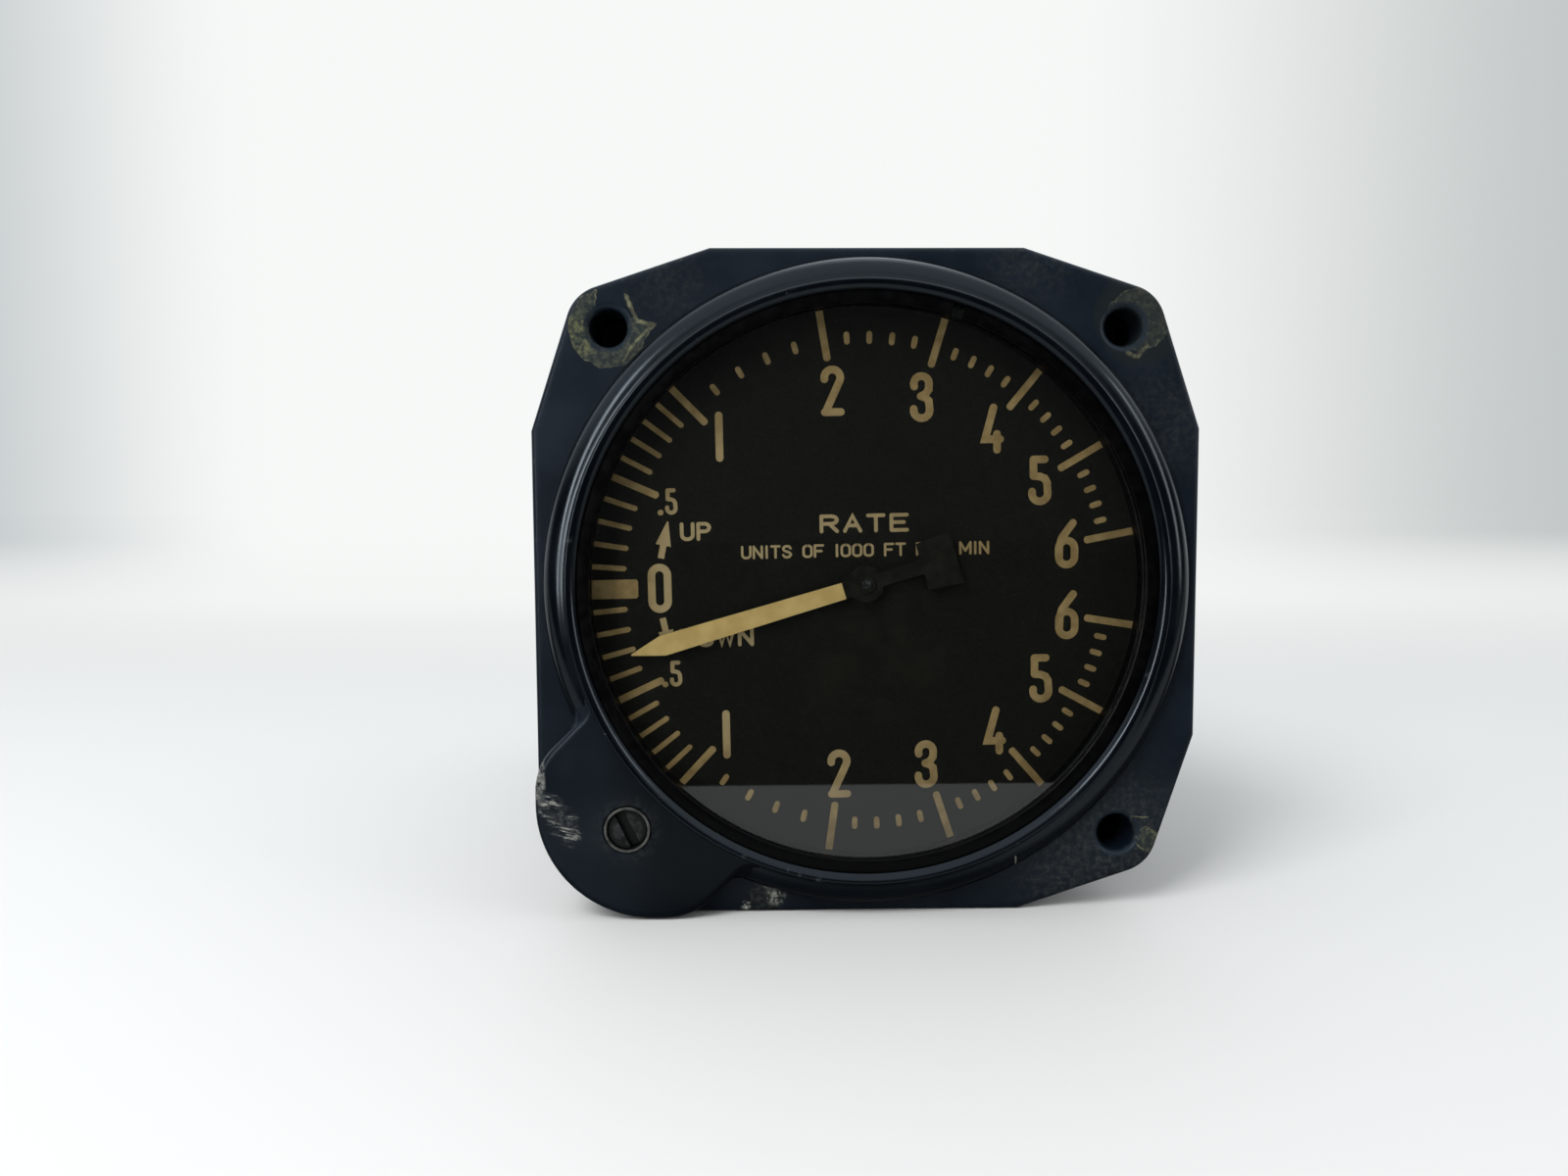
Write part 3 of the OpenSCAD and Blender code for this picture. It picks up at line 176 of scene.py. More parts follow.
# %% Spin a profile about the instrument's axis
def turned(profile, steps=160, centre=(0, 0), start=0, sweep=360, closed=True):
    """A bmesh of a profile of (radius, depth) points in mm, turned about a line along Y."""
    bm = bmesh.new()
    points = [bm.verts.new((r * MM, y * MM, 0)) for r, y in profile]
    pairs = list(zip(points, points[1:])) + ([(points[-1], points[0])] if closed else [])
    edges = [bm.edges.new(p) for p in pairs]
    bmesh.ops.rotate(bm, verts=bm.verts, matrix=Matrix.Rotation(-radians(start), 3, "Y"))
    bmesh.ops.spin(bm, geom=points + edges, axis=(0, 1, 0), cent=(0, 0, 0),
                   angle=radians(sweep), steps=steps, use_merge=sweep == 360)
    bmesh.ops.translate(bm, verts=bm.verts, vec=(centre[0] * MM, 0, centre[1] * MM))
    bmesh.ops.remove_doubles(bm, verts=bm.verts, dist=weld)
    return bm


# %% Raise an outline into a plate
def plate(outline, y_front, y_back):
    """A bmesh of a flat outline of (x, z) points in mm, between two depths."""
    bm = bmesh.new()
    face = bm.faces.new([bm.verts.new((x * MM, y_back * MM, z * MM)) for x, z in outline])
    made = bmesh.ops.extrude_face_region(bm, geom=[face])["geom"]
    raised = [v for v in made if isinstance(v, bmesh.types.BMVert)]
    bmesh.ops.translate(bm, verts=raised, vec=(0, (y_front - y_back) * MM, 0))
    bmesh.ops.recalc_face_normals(bm, faces=bm.faces)
    return bm


def corners(bm, above):
    """The edges of a bmesh that turn a corner of more than an angle in degrees."""
    return [e for e in bm.edges if len(e.link_faces) == 2 and e.calc_face_angle() > radians(above)]


def round_rim(bm, y, width, segments=4):
    """Rounds the rim of a plate at one depth."""
    rim = [e for e in corners(bm, 30) if all(abs(v.co.y - y * MM) < 0.001 * MM for v in e.verts)]
    bmesh.ops.bevel(bm, geom=rim, offset=width * MM, segments=segments, profile=0.5, affect="EDGES",
                    material=-1)


# %% Points along an arc
def arc(centre, radius, first, last, steps):
    """Points of an arc in the plane of the face, angles in degrees from the right-hand side upward."""
    angles = [radians(first + (last - first) * i / steps) for i in range(steps + 1)]
    return [(centre[0] + radius * cos(a), centre[1] + radius * sin(a)) for a in angles]


# %% Cut one piece with another
def cut(piece, cutter_bm):
    """Takes the closed cutter out of the piece and keeps the result as the piece's own mesh."""
    bmesh.ops.recalc_face_normals(cutter_bm, faces=cutter_bm.faces)
    cutter = placed("cutter", to_mesh(cutter_bm, "cutter"))
    even = piece.modifiers["even normals"]
    even.show_viewport = False
    knife = piece.modifiers.new("cut", "BOOLEAN")
    knife.operation, knife.solver, knife.object = "DIFFERENCE", "EXACT", cutter
    bpy.context.view_layer.update()
    result = bpy.data.meshes.new_from_object(piece.evaluated_get(bpy.context.evaluated_depsgraph_get()))
    piece.modifiers.remove(knife)
    even.show_viewport = True
    bpy.data.objects.remove(cutter)
    bm = bmesh.new()
    bm.from_mesh(result)
    bm.verts.layers.float.remove(bm.verts.layers.float["wear"])
    mark_wear(bm)
    bm.to_mesh(piece.data)
    bm.free()
    piece.data.shade_smooth()
    piece.data.set_sharp_from_angle(angle=radians(sharp_corner))
    print(f"{piece.name}: {len(piece.data.polygons)} faces after the cut")


# %% [markdown]
# ## The turned body
# The raised ring round the window, the bore for the glass, and the barrel behind the flange are all one
# turned shape, so one profile spun about the axis makes them. A narrow bead stands at the window and the
# ring rolls over outside it like a brow. Both get many points, because their highlights are the first
# thing the eye meets.

# %% Spin the ring and barrel
flange_front = -4.8
barrel_radius, barrel_end = 39.35, 92
window_radius, ring_base_radius = 35.6, 39.8
brow_start, brow_height = 37.0, 2.43
wall_radius, seat_radius, dial_bore = 36.3, 31.5, 35.25
groove_radius, groove_back, groove_front = 36.15, -5.85, -6.75
brow = [(brow_start + (ring_base_radius - brow_start) * sin(radians(a)), brow_height * cos(radians(a)))
        for a in range(3, 93, 6)]
crest_top = 36.65
crest = [(window_radius, 2.2), (35.7, 2.34), (35.85, 2.49), (36.08, 2.66), (36.3, 2.77), (36.5, 2.82),
         (crest_top, 2.83), (36.76, 2.8), (36.85, 2.73), (36.93, 2.6), (36.99, 2.47), *brow,
         (ring_base_radius, 0)]
body_profile = [(r, flange_front - h) for r, h in crest] + [
    (ring_base_radius, -4.0), (barrel_radius, -4.0), (barrel_radius, 8.9), (barrel_radius - 0.3, 9.2),
    (barrel_radius - 0.6, 9.3), (barrel_radius - 0.6, 11.1), (barrel_radius - 0.3, 11.2), (barrel_radius, 11.5),
    (barrel_radius, barrel_end - 0.5), (barrel_radius - 0.15, barrel_end - 0.15),
    (barrel_radius - 0.5, barrel_end), (wall_radius, barrel_end), (wall_radius, 6), (seat_radius, 6),
    (seat_radius, 1.3), (dial_bore, 1.3), (dial_bore, -3.6), (window_radius, -3.6),
    (window_radius, groove_back), (groove_radius, groove_back), (groove_radius, groove_front),
    (window_radius, groove_front)]
barrel = make_piece("turned_body", turned(body_profile, steps=240), "instrument_body", "case_paint", ["case"])

# %% [markdown]
# ## The flange
# The flange is a flat plate a little under 5 mm thick. Three of its corners are struck round the mounting
# holes and taper back to the sides, and the fourth is one big arc. Its outline is written with the same
# few sizes as the CAD, raised to its thickness, and its rims are bevelled into soft cast edges.

# %% Draw and raise the flange
half_side = 41
hole_place = 62.865 / 2
corner_radius = 5.2
taper = 18.3
lobe_corner_radius = 14.4
lobe_centre = half_side - lobe_corner_radius
under_lobe = 0.03
taper_cos, taper_sin = cos(radians(taper)), sin(radians(taper))
tangent_x = hole_place + corner_radius * taper_cos
tangent_z = hole_place + corner_radius * taper_sin
taper_end = (tangent_x * taper_cos + tangent_z * taper_sin - half_side * taper_cos) / taper_sin


def plain_corner(quarter_turns):
    """The upper right corner of the flange, turned by quarter turns."""
    points = [(half_side, taper_end),
              *arc((hole_place, hole_place), corner_radius, taper, 90 - taper, 14),
              (taper_end, half_side)]
    for _ in range(quarter_turns):
        points = [(-z, x) for x, z in points]
    return points


flange_outline = (plain_corner(0) + plain_corner(1)
                  + arc((-lobe_centre, -lobe_centre), lobe_corner_radius - under_lobe, 180, 270, 30)
                  + plain_corner(3))
flange_bm = plate(flange_outline, flange_front, 0)
round_rim(flange_bm, flange_front, 0.6)
round_rim(flange_bm, 0, 0.35, 3)
flat_faces = [f for f in flange_bm.faces if abs(f.normal.y) > 0.99 and f.calc_area() > 100 * MM * MM]
bmesh.ops.inset_individual(flange_bm, faces=flat_faces, thickness=0.5 * MM)
flange = make_piece("flange_plate", flange_bm, "instrument_body", "case_paint", ["case"])

# %% Cut the window and the mounting holes
hole_radius = 2.2
rounding = [(0, -1), (3.05, -1), (3.05, 0.01), (2.82, 0.07), (2.6, 0.2), (2.43, 0.4), (2.31, 0.65),
            (2.23, 0.95), (hole_radius, 1.3)]
mouth = [(r, flange_front + depth) for r, depth in rounding] + [(hole_radius, -0.4), (2.5, 0), (2.5, 1), (0, 1)]
holes = [(hole_place, hole_place), (-hole_place, hole_place), (hole_place, -hole_place)]
cut(flange, turned([(0, -9), (37.2, -9), (37.2, 3), (0, 3)], closed=False))
for place in holes:
    cut(flange, turned(mouth, steps=56, centre=place, closed=False))

# %% [markdown]
# ## The adjuster lobe
# The lobe swells out of the ring towards one corner, and its side flows into the ring through a concave
# fillet. A hull of two outlines would leave a crease there. Instead each level of its side gets its own
# outline, tangent to the ring at that height, and each outline is extruded from the one above it.

# %% Outline of the lobe at one level
neck_line = 19.3
neck_along = Vector((-1, -1)).normalized()
neck_out = Vector((-1, 1)).normalized()
neck_fillet = 2.6
shoulder_radius = 8
hidden_radius = 36.7
lobe_corner = Vector((-lobe_centre, -lobe_centre))
shoulder = Vector((-half_side + shoulder_radius, -half_side + shoulder_radius * (1 - sqrt(2)) + neck_line))


def bend(centre, first, last, steps):
    """Points round a centre from one point to another, the short way."""
    a0 = atan2(first.y - centre.y, first.x - centre.x)
    swing = (atan2(last.y - centre.y, last.x - centre.x) - a0 + pi) % (2 * pi) - pi
    r = (first - centre).length
    return [(centre.x + r * cos(a0 + swing * i / steps), centre.y + r * sin(a0 + swing * i / steps))
            for i in range(steps + 1)]


def lobe_outline(inset, ring_radius):
    """Closed outline at one level: down one side of the lobe, up the other, and back inside the ring."""
    edge = shoulder + neck_out * (shoulder_radius - inset)
    start = edge + neck_out * neck_fillet
    b = start.dot(neck_along)
    fillet = start + neck_along * (-b + sqrt(b * b - start.dot(start) + (ring_radius + neck_fillet) ** 2))
    on_ring = fillet * (ring_radius / (ring_radius + neck_fillet))
    on_neck = fillet - neck_out * neck_fillet
    reach = lobe_corner_radius - inset
    half = (bend(fillet, on_ring, on_neck, 12)
            + arc(shoulder, shoulder_radius - inset, 135, 180, 10)
            + arc(lobe_corner, reach, 180, 225, 14))
    other = [(z, x) for x, z in half[-2::-1]]
    first = degrees(atan2(on_ring.y, on_ring.x)) % 360
    return half + other + arc((0, 0), hidden_radius, 450 - first, first, 24)


# %% Extrude the levels
levels = [(1.1, 2.63), (0.8, 2.615), (0.56, 2.56), (0.37, 2.46), (0.22, 2.31), (0.12, 2.1), (0.08, 1.85),
          (0.06, 0.45), (0.04, 0.2), (0.02, 0.06), (0.01, 0), (0.01, -4.78)]


def ring_radius_at(height):
    """Radius of the ring's outer side at a height over the flange."""
    side = [p for p in crest if p[0] >= crest_top]
    for (r0, h0), (r1, h1) in zip(side, side[1:]):
        if h1 <= height <= h0:
            return r0 + (r1 - r0) * (h0 - height) / (h0 - h1)
    return ring_base_radius


lobe_bm = bmesh.new()
inset, height = levels[0]
cap = lobe_bm.faces.new([lobe_bm.verts.new((x * MM, (flange_front - height) * MM, z * MM))
                         for x, z in lobe_outline(inset, ring_radius_at(height))])
level_verts = list(cap.verts)
level_edges = list(cap.edges)
for inset, height in levels[1:]:
    outline = lobe_outline(inset, ring_radius_at(height))
    grown = bmesh.ops.extrude_edge_only(lobe_bm, edges=level_edges)["geom"]
    level_edges = [e for e in grown if isinstance(e, bmesh.types.BMEdge)]
    fresh = {v for v in grown if isinstance(v, bmesh.types.BMVert)}
    level_verts = [next(e.other_vert(v) for e in v.link_edges if e.other_vert(v) in fresh) for v in level_verts]
    for v, (x, z) in zip(level_verts, outline):
        v.co = (x * MM, (flange_front - height) * MM, z * MM)
bmesh.ops.holes_fill(lobe_bm, edges=level_edges, sides=0)
lobe = make_piece("adjuster_lobe", lobe_bm, "instrument_body", "case_paint", ["case"], sharp=50)

# %% Bore the lobe for the adjuster
setter = -29.7
bushing_radius = 2.85
cut(lobe, turned([(0, -10), (bushing_radius + 0.25, -10), (bushing_radius + 0.25, -7.45),
                  (bushing_radius + 0.03, -7.2), (bushing_radius + 0.03, 1), (0, 1)],
                 steps=64, centre=(setter, setter), closed=False))

# %% [markdown]
# ## The boss behind the flange
# Behind the lobe a short boss carries the adjuster's lever. It is a plain casting, so its outline is a half
# circle with straight sides that run into the barrel, and its back rim is rounded.

# %% Raise the boss
boss_radius = 8
boss_end = 8.7
diagonal_reach = abs(setter) * sqrt(2)
boss_outline = [(x, z) for x, z in [(36.5, boss_radius), (36.5, -boss_radius)]
                + arc((diagonal_reach, 0), boss_radius, -90, 90, 28)]
quarter = sqrt(0.5)
boss_outline = [((-x + z) * quarter, (-x - z) * quarter) for x, z in boss_outline]
boss_bm = plate(boss_outline, -0.5, boss_end)
round_rim(boss_bm, boss_end, 0.6)
boss = make_piece("setter_boss", boss_bm, "instrument_body", "case_paint", ["case"])

# %% [markdown]
# ## The anchor nuts
# The mounting holes look dark in the photograph although the room behind is white, so something closes
# them. Instruments of this kind carry closed nuts riveted behind the flange for the panel screws. Each is
# a thimble spun from one thin profile, a deep dark bore with a domed end and a rolled foot.

# %% Spin the nuts
nut_foot, nut_body, nut_bore, nut_length = 4.1, 3.0, 2.2, 7.2
nut_profile = [(nut_bore, 0.02), (nut_foot - 0.2, 0.02), (nut_foot, 0.2), (nut_foot, 0.7),
               (nut_foot - 0.2, 0.9), (nut_body + 0.4, 0.95), (nut_body + 0.1, 1.1), (nut_body, 1.4),
               (nut_body, nut_length - 1.1), (nut_body - 0.3, nut_length - 0.5),
               (nut_body - 0.9, nut_length - 0.12), (0, nut_length), (0, nut_length - 0.8),
               (nut_bore, nut_length - 1.2)]
for number, place in enumerate(holes, 1):
    nut_bm = turned(nut_profile, steps=48, centre=place)
    make_piece(f"anchor_nut_{number}", nut_bm, "instrument_body", "case_paint")

# %% [markdown]
# ## Window and dial
# The glass lies between a soft gasket and a split ring that springs into a groove. The ring is spun almost
# all the way round, and its two open ends are filled. The glass and the dial are turned discs with the
# small edge breaks that real ones get.

# %% Spin the retaining ring
ring_gap = degrees(1.4 / 36)
gap_angle = 72
ring_profile = [(33.97, -5.9), (33.97, -6.36), (34.02, -6.5), (34.14, -6.58), (34.3, -6.62), (34.9, -6.65),
                (35.7, -6.65), (35.95, -6.6), (36.05, -6.5), (36.05, -5.9)]
ring_bm = turned(ring_profile, steps=200, start=gap_angle - ring_gap / 2, sweep=360 - ring_gap)
bmesh.ops.holes_fill(ring_bm, edges=[e for e in ring_bm.edges if e.is_boundary], sides=0)
retaining_ring = make_piece("window_snap_ring", ring_bm, "instrument_body", "ring_black", ["retaining_ring"])

# %% Turn the glass and the dial
glass = make_piece("window_glass", turned([(0, -5.9), (35.4, -5.9), (35.5, -5.8), (35.5, -4), (35.4, -3.9),
                                           (0, -3.9)], closed=False), "instrument_body", "glass", ["glass"])
dial = make_piece("dial_face", turned([(1.5, -2), (34.9, -2), (35, -1.92), (35, -1.28), (34.9, -1.2),
                                       (1.5, -1.2)]), "instrument_body", "dial_black", ["dial"])

# %% [markdown]
# ## The legend
# A dial like this has its units written across the middle. Text objects would bring in somebody's typeface,
# so each letter is a few strokes of even width with round ends, as an engraver's pantograph cuts them.
# The words are plain ones that say which way and how much, and their strokes stand proud like thick paint.

# %% A stroke of even width
def stroke(path, width):
    """Outline of a path of (x, z) points drawn with a round-ended pen."""
    points = [Vector(p) for p in path]
    heads = [(b - a).normalized() for a, b in zip(points, points[1:])]
    ways = [heads[0]] + [(a + b).normalized() for a, b in zip(heads, heads[1:])] + [heads[-1]]
    spread = [1] + [1 / max(0.6, w.dot(h)) for w, h in zip(ways[1:-1], heads[1:])] + [1]
    left, right = ([p + Vector((-w.y, w.x)) * (side * width / 2 * s) for p, w, s in zip(points, ways, spread)]
                   for side in (1, -1))
    ends = []
    for point, way in ((points[-1], ways[-1]), (points[0], -ways[0])):
        face = degrees(atan2(way.y, way.x))
        ends.append([Vector(p) for p in arc(point, width / 2, face + 60, face - 60, 4)])
    return [tuple(p) for p in left + ends[0] + right[::-1] + ends[1]]


# %% Strokes of each letter in a box one wide and one high
bowl = [(0.62 + 0.38 * sin(radians(a)), 0.75 + 0.25 * cos(radians(a))) for a in range(0, 181, 30)]
round_letter = [(0.5 - 0.5 * sin(a), (0.74 if cos(a) > 0 else 0.26) + 0.26 * cos(a))
                for a in (radians(degree) for degree in range(0, 361, 20))]
letters = {
    "U": [[(0, 1), (0, 0.3), *[(0.5 - 0.5 * cos(radians(a)), 0.28 - 0.28 * sin(radians(a)))
                              for a in range(20, 161, 20)], (1, 0.3), (1, 1)]],
    "P": [[(0, 0), (0, 1)], [(0, 1), *bowl, (0, 0.5)]],
    "D": [[(0, 0), (0, 1)],
          [(0, 1), (0.5, 1), (0.85, 0.88), (1, 0.6), (1, 0.4), (0.85, 0.12), (0.5, 0), (0, 0)]],
    "O": [round_letter],
    "0": [round_letter],
    "W": [[(0, 1), (0.24, 0), (0.5, 0.85), (0.76, 0), (1, 1)]],
    "N": [[(0, 0), (0, 1)], [(0, 1), (1, 0)], [(1, 0), (1, 1)]],
    "R": [[(0, 0), (0, 1)], [(0, 1), *bowl, (0, 0.5)], [(0.5, 0.5), (1, 0)]],
    "A": [[(0, 0), (0.5, 1), (1, 0)], [(0.2, 0.36), (0.8, 0.36)]],
    "T": [[(0, 1), (1, 1)], [(0.5, 1), (0.5, 0)]],
    "E": [[(1, 1), (0, 1)], [(0, 1), (0, 0)], [(0, 0), (1, 0)], [(0, 0.52), (0.8, 0.52)]],
    "F": [[(1, 1), (0, 1)], [(0, 1), (0, 0)], [(0, 0.5), (0.8, 0.5)]],
    "I": [[(0.5, 0), (0.5, 1)]],
    "1": [[(0.5, 0), (0.5, 1)]],
    "M": [[(0, 0), (0, 1)], [(0, 1), (0.5, 0.25)], [(0.5, 0.25), (1, 1)], [(1, 1), (1, 0)]],
    "S": [[(0.95, 0.8), (0.75, 0.97), (0.5, 1), (0.2, 0.95), (0.03, 0.77), (0.15, 0.6), (0.5, 0.5),
           (0.85, 0.4), (0.98, 0.23), (0.8, 0.05), (0.5, 0), (0.22, 0.03), (0.03, 0.2)]],
}
narrow = {"I": 0.35, "1": 0.35, " ": 0.7, "M": 1.25, "W": 1.25}
print(len(letters), "letters and numerals")


# %% Set the words on the dial
dial_front = -2.0
dial_roll = radians(0.9)
paint_height = 0.05


def set_word(bm, word, centre, width, height, pen):
    """Adds one word, its letters spread evenly over a width round its centre."""
    shares = [narrow.get(c, 1) for c in word]
    gap = 0.5 if height > 2 else 0.42
    unit = (width - pen) / (sum(shares) + gap * (len(word) - 1))
    left = centre[0] - (width - pen) / 2
    tall = height - pen
    for letter, share in zip(word, shares):
        for layer, path in enumerate(letters.get(letter, [])):
            lifted = dial_front - paint_height - 0.002 * layer
            points = [(left + x * share * unit, centre[1] + (z - 0.5) * tall) for x, z in path]
            made = plate(stroke(points, pen), lifted, dial_front + 0.01)
            copy = to_mesh(made, "letter")
            bm.from_mesh(copy)
            bpy.data.meshes.remove(copy)
        left += (share + gap) * unit


legend_bm = bmesh.new()
set_word(legend_bm, "RATE", (0, 7.63), 11.2, 2.35, 0.46)
set_word(legend_bm, "UNITS OF 1000 FT PER MIN", (0.09, 4.25), 31.2, 1.7, 0.3)
set_word(legend_bm, "UP", (-21.14, 7.02), 3.9, 2.35, 0.46)
set_word(legend_bm, "DOWN", (-18.85, -6.37), 9.4, 2.35, 0.46)
bmesh.ops.rotate(legend_bm, verts=legend_bm.verts, matrix=Matrix.Rotation(-dial_roll, 3, "Y"))
legend = make_piece("dial_legend", legend_bm, "instrument_body", "marking_paint")

# %% [markdown]
# ## Small pieces with broken edges
# The pointer, the adjuster and the parts at the back are right in the CAD, but their edges are perfectly
# sharp, and no metal edge is. A merged copy of each mesh can be bevelled, which the CAD mesh itself,
# being loose triangles, can't. The copy then stands for the node.

# %% Copy a node and break its edges
def softened(node, width, name):
    """A merged copy of a CAD node with its corners rounded by a width in mm."""
    body = next(b for b, members in frame["record"]["behaviour"]["bodies"].items() if node in members)
    slot = next(s["material_slot"] for s in frame["record"]["subparts"] if s["node"] == node)
    bm = bmesh.new()
    bm.from_mesh(frame["nodes"][node].data)
    bmesh.ops.remove_doubles(bm, verts=bm.verts, dist=0.001 * MM)
    bmesh.ops.dissolve_limit(bm, angle_limit=radians(0.5), verts=bm.verts, edges=bm.edges)
    bmesh.ops.bevel(bm, geom=corners(bm, 28), offset=width * MM, segments=2, profile=0.5, affect="EDGES",
                    clamp_overlap=True, material=-1)
    return make_piece(name, bm, body, slot, [node])


softened("pointer", 0.06, "pointer_arm")
softened("pointer_paint", 0.03, "pointer_lume")
softened("pointer_hub", 0.08, "pointer_boss")
softened("zero_screw", 0.12, "adjuster_screw")
softened("zero_bushing", 0.12, "adjuster_bushing")
softened("rear_cover", 0.3, "back_cover")
softened("rear_cover_screws", 0.12, "back_cover_screws")
softened("static_fitting", 0.2, "static_port_fitting")
softened("fitting_nut", 0.2, "static_port_nut")

# %% [markdown]
# ## The flexing diaphragm
# The capsule's front diaphragm is a corrugated sheet: its rim is soldered to the rear one and its centre
# carries the post, so it has to flex as the post slides. The copy follows the case at its rim and the post
# at its centre, and bends between them.

# %% Let the front diaphragm flex
capsule_front, capsule_rim = (corner[1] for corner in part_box("capsule_front_diaphragm"))
diaphragm_bm = bmesh.new()
diaphragm_bm.from_mesh(frame["nodes"]["capsule_front_diaphragm"].data)
diaphragm = make_piece("flexing_diaphragm", diaphragm_bm, None, "capsule_bronze", ["capsule_front_diaphragm"])
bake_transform(diaphragm, "instrument_body", "capsule_drive", start=(0, capsule_rim, 0), end=(0, capsule_front, 0))

# %% [markdown]
# ## Helpers for finishes
# Each finish is a small network: patterns drawn on Object coordinates, in real millimetres, that drive
# the colour, the roughness and the bump of one Principled shader. Two classes keep the calls short. The
# first works on any node tree, so the light at the end can use it too, and the second adds the patterns.

# %% Nodes in short calls
class Network:
    """A node tree with short calls for the nodes used in this lesson."""

    def __init__(self, tree):
        self.tree = tree

    def node(self, kind, inputs=(), **settings):
        """One node, its inputs given as values or as sockets to link."""
        made = self.tree.nodes.new("ShaderNode" + kind)
        for key, value in settings.items():
            setattr(made, key, value)
        for key, value in dict(inputs).items():
            if isinstance(value, bpy.types.NodeSocket):
                self.tree.links.new(value, made.inputs[key])
            else:
                made.inputs[key].default_value = value
        return made

    def maths(self, operation, a, b=0.0, clamp=True):
        return self.node("Math", {0: a, 1: b}, operation=operation, use_clamp=clamp).outputs[0]

    def times(self, first, *others):
        """The product of several patterns."""
        for other in others:
            first = self.maths("MULTIPLY", first, other)
        return first

    def inverse(self, pattern):
        """1 where a pattern is 0, and 0 where it is 1."""
        return self.maths("SUBTRACT", 1.0, pattern, clamp=False)

    def most(self, first, *others):
        """The largest of several patterns."""
        for other in others:
            first = self.maths("MAXIMUM", first, other)
        return first

    def ramp(self, value, low, high, to_low=0.0, to_high=1.0, smooth=True):
        return self.node("MapRange", {0: value, 1: low, 2: high, 3: to_low, 4: to_high},
                         interpolation_type="SMOOTHSTEP" if smooth else "LINEAR").outputs[0]

    def blend(self, amount, first, second):
        """Mixes two colours, each a tuple or a socket."""
        ends = [c if isinstance(c, bpy.types.NodeSocket) else (*c, 1) for c in (first, second)]
        return self.node("Mix", {0: amount, 6: ends[0], 7: ends[1]}, data_type="RGBA").outputs[2]

    def mix_shaders(self, share, first, second):
        """A shader that goes from the first to the second as a share goes from 0 to 1."""
        return self.node("MixShader", {0: share, 1: first.outputs[0], 2: second.outputs[0]})


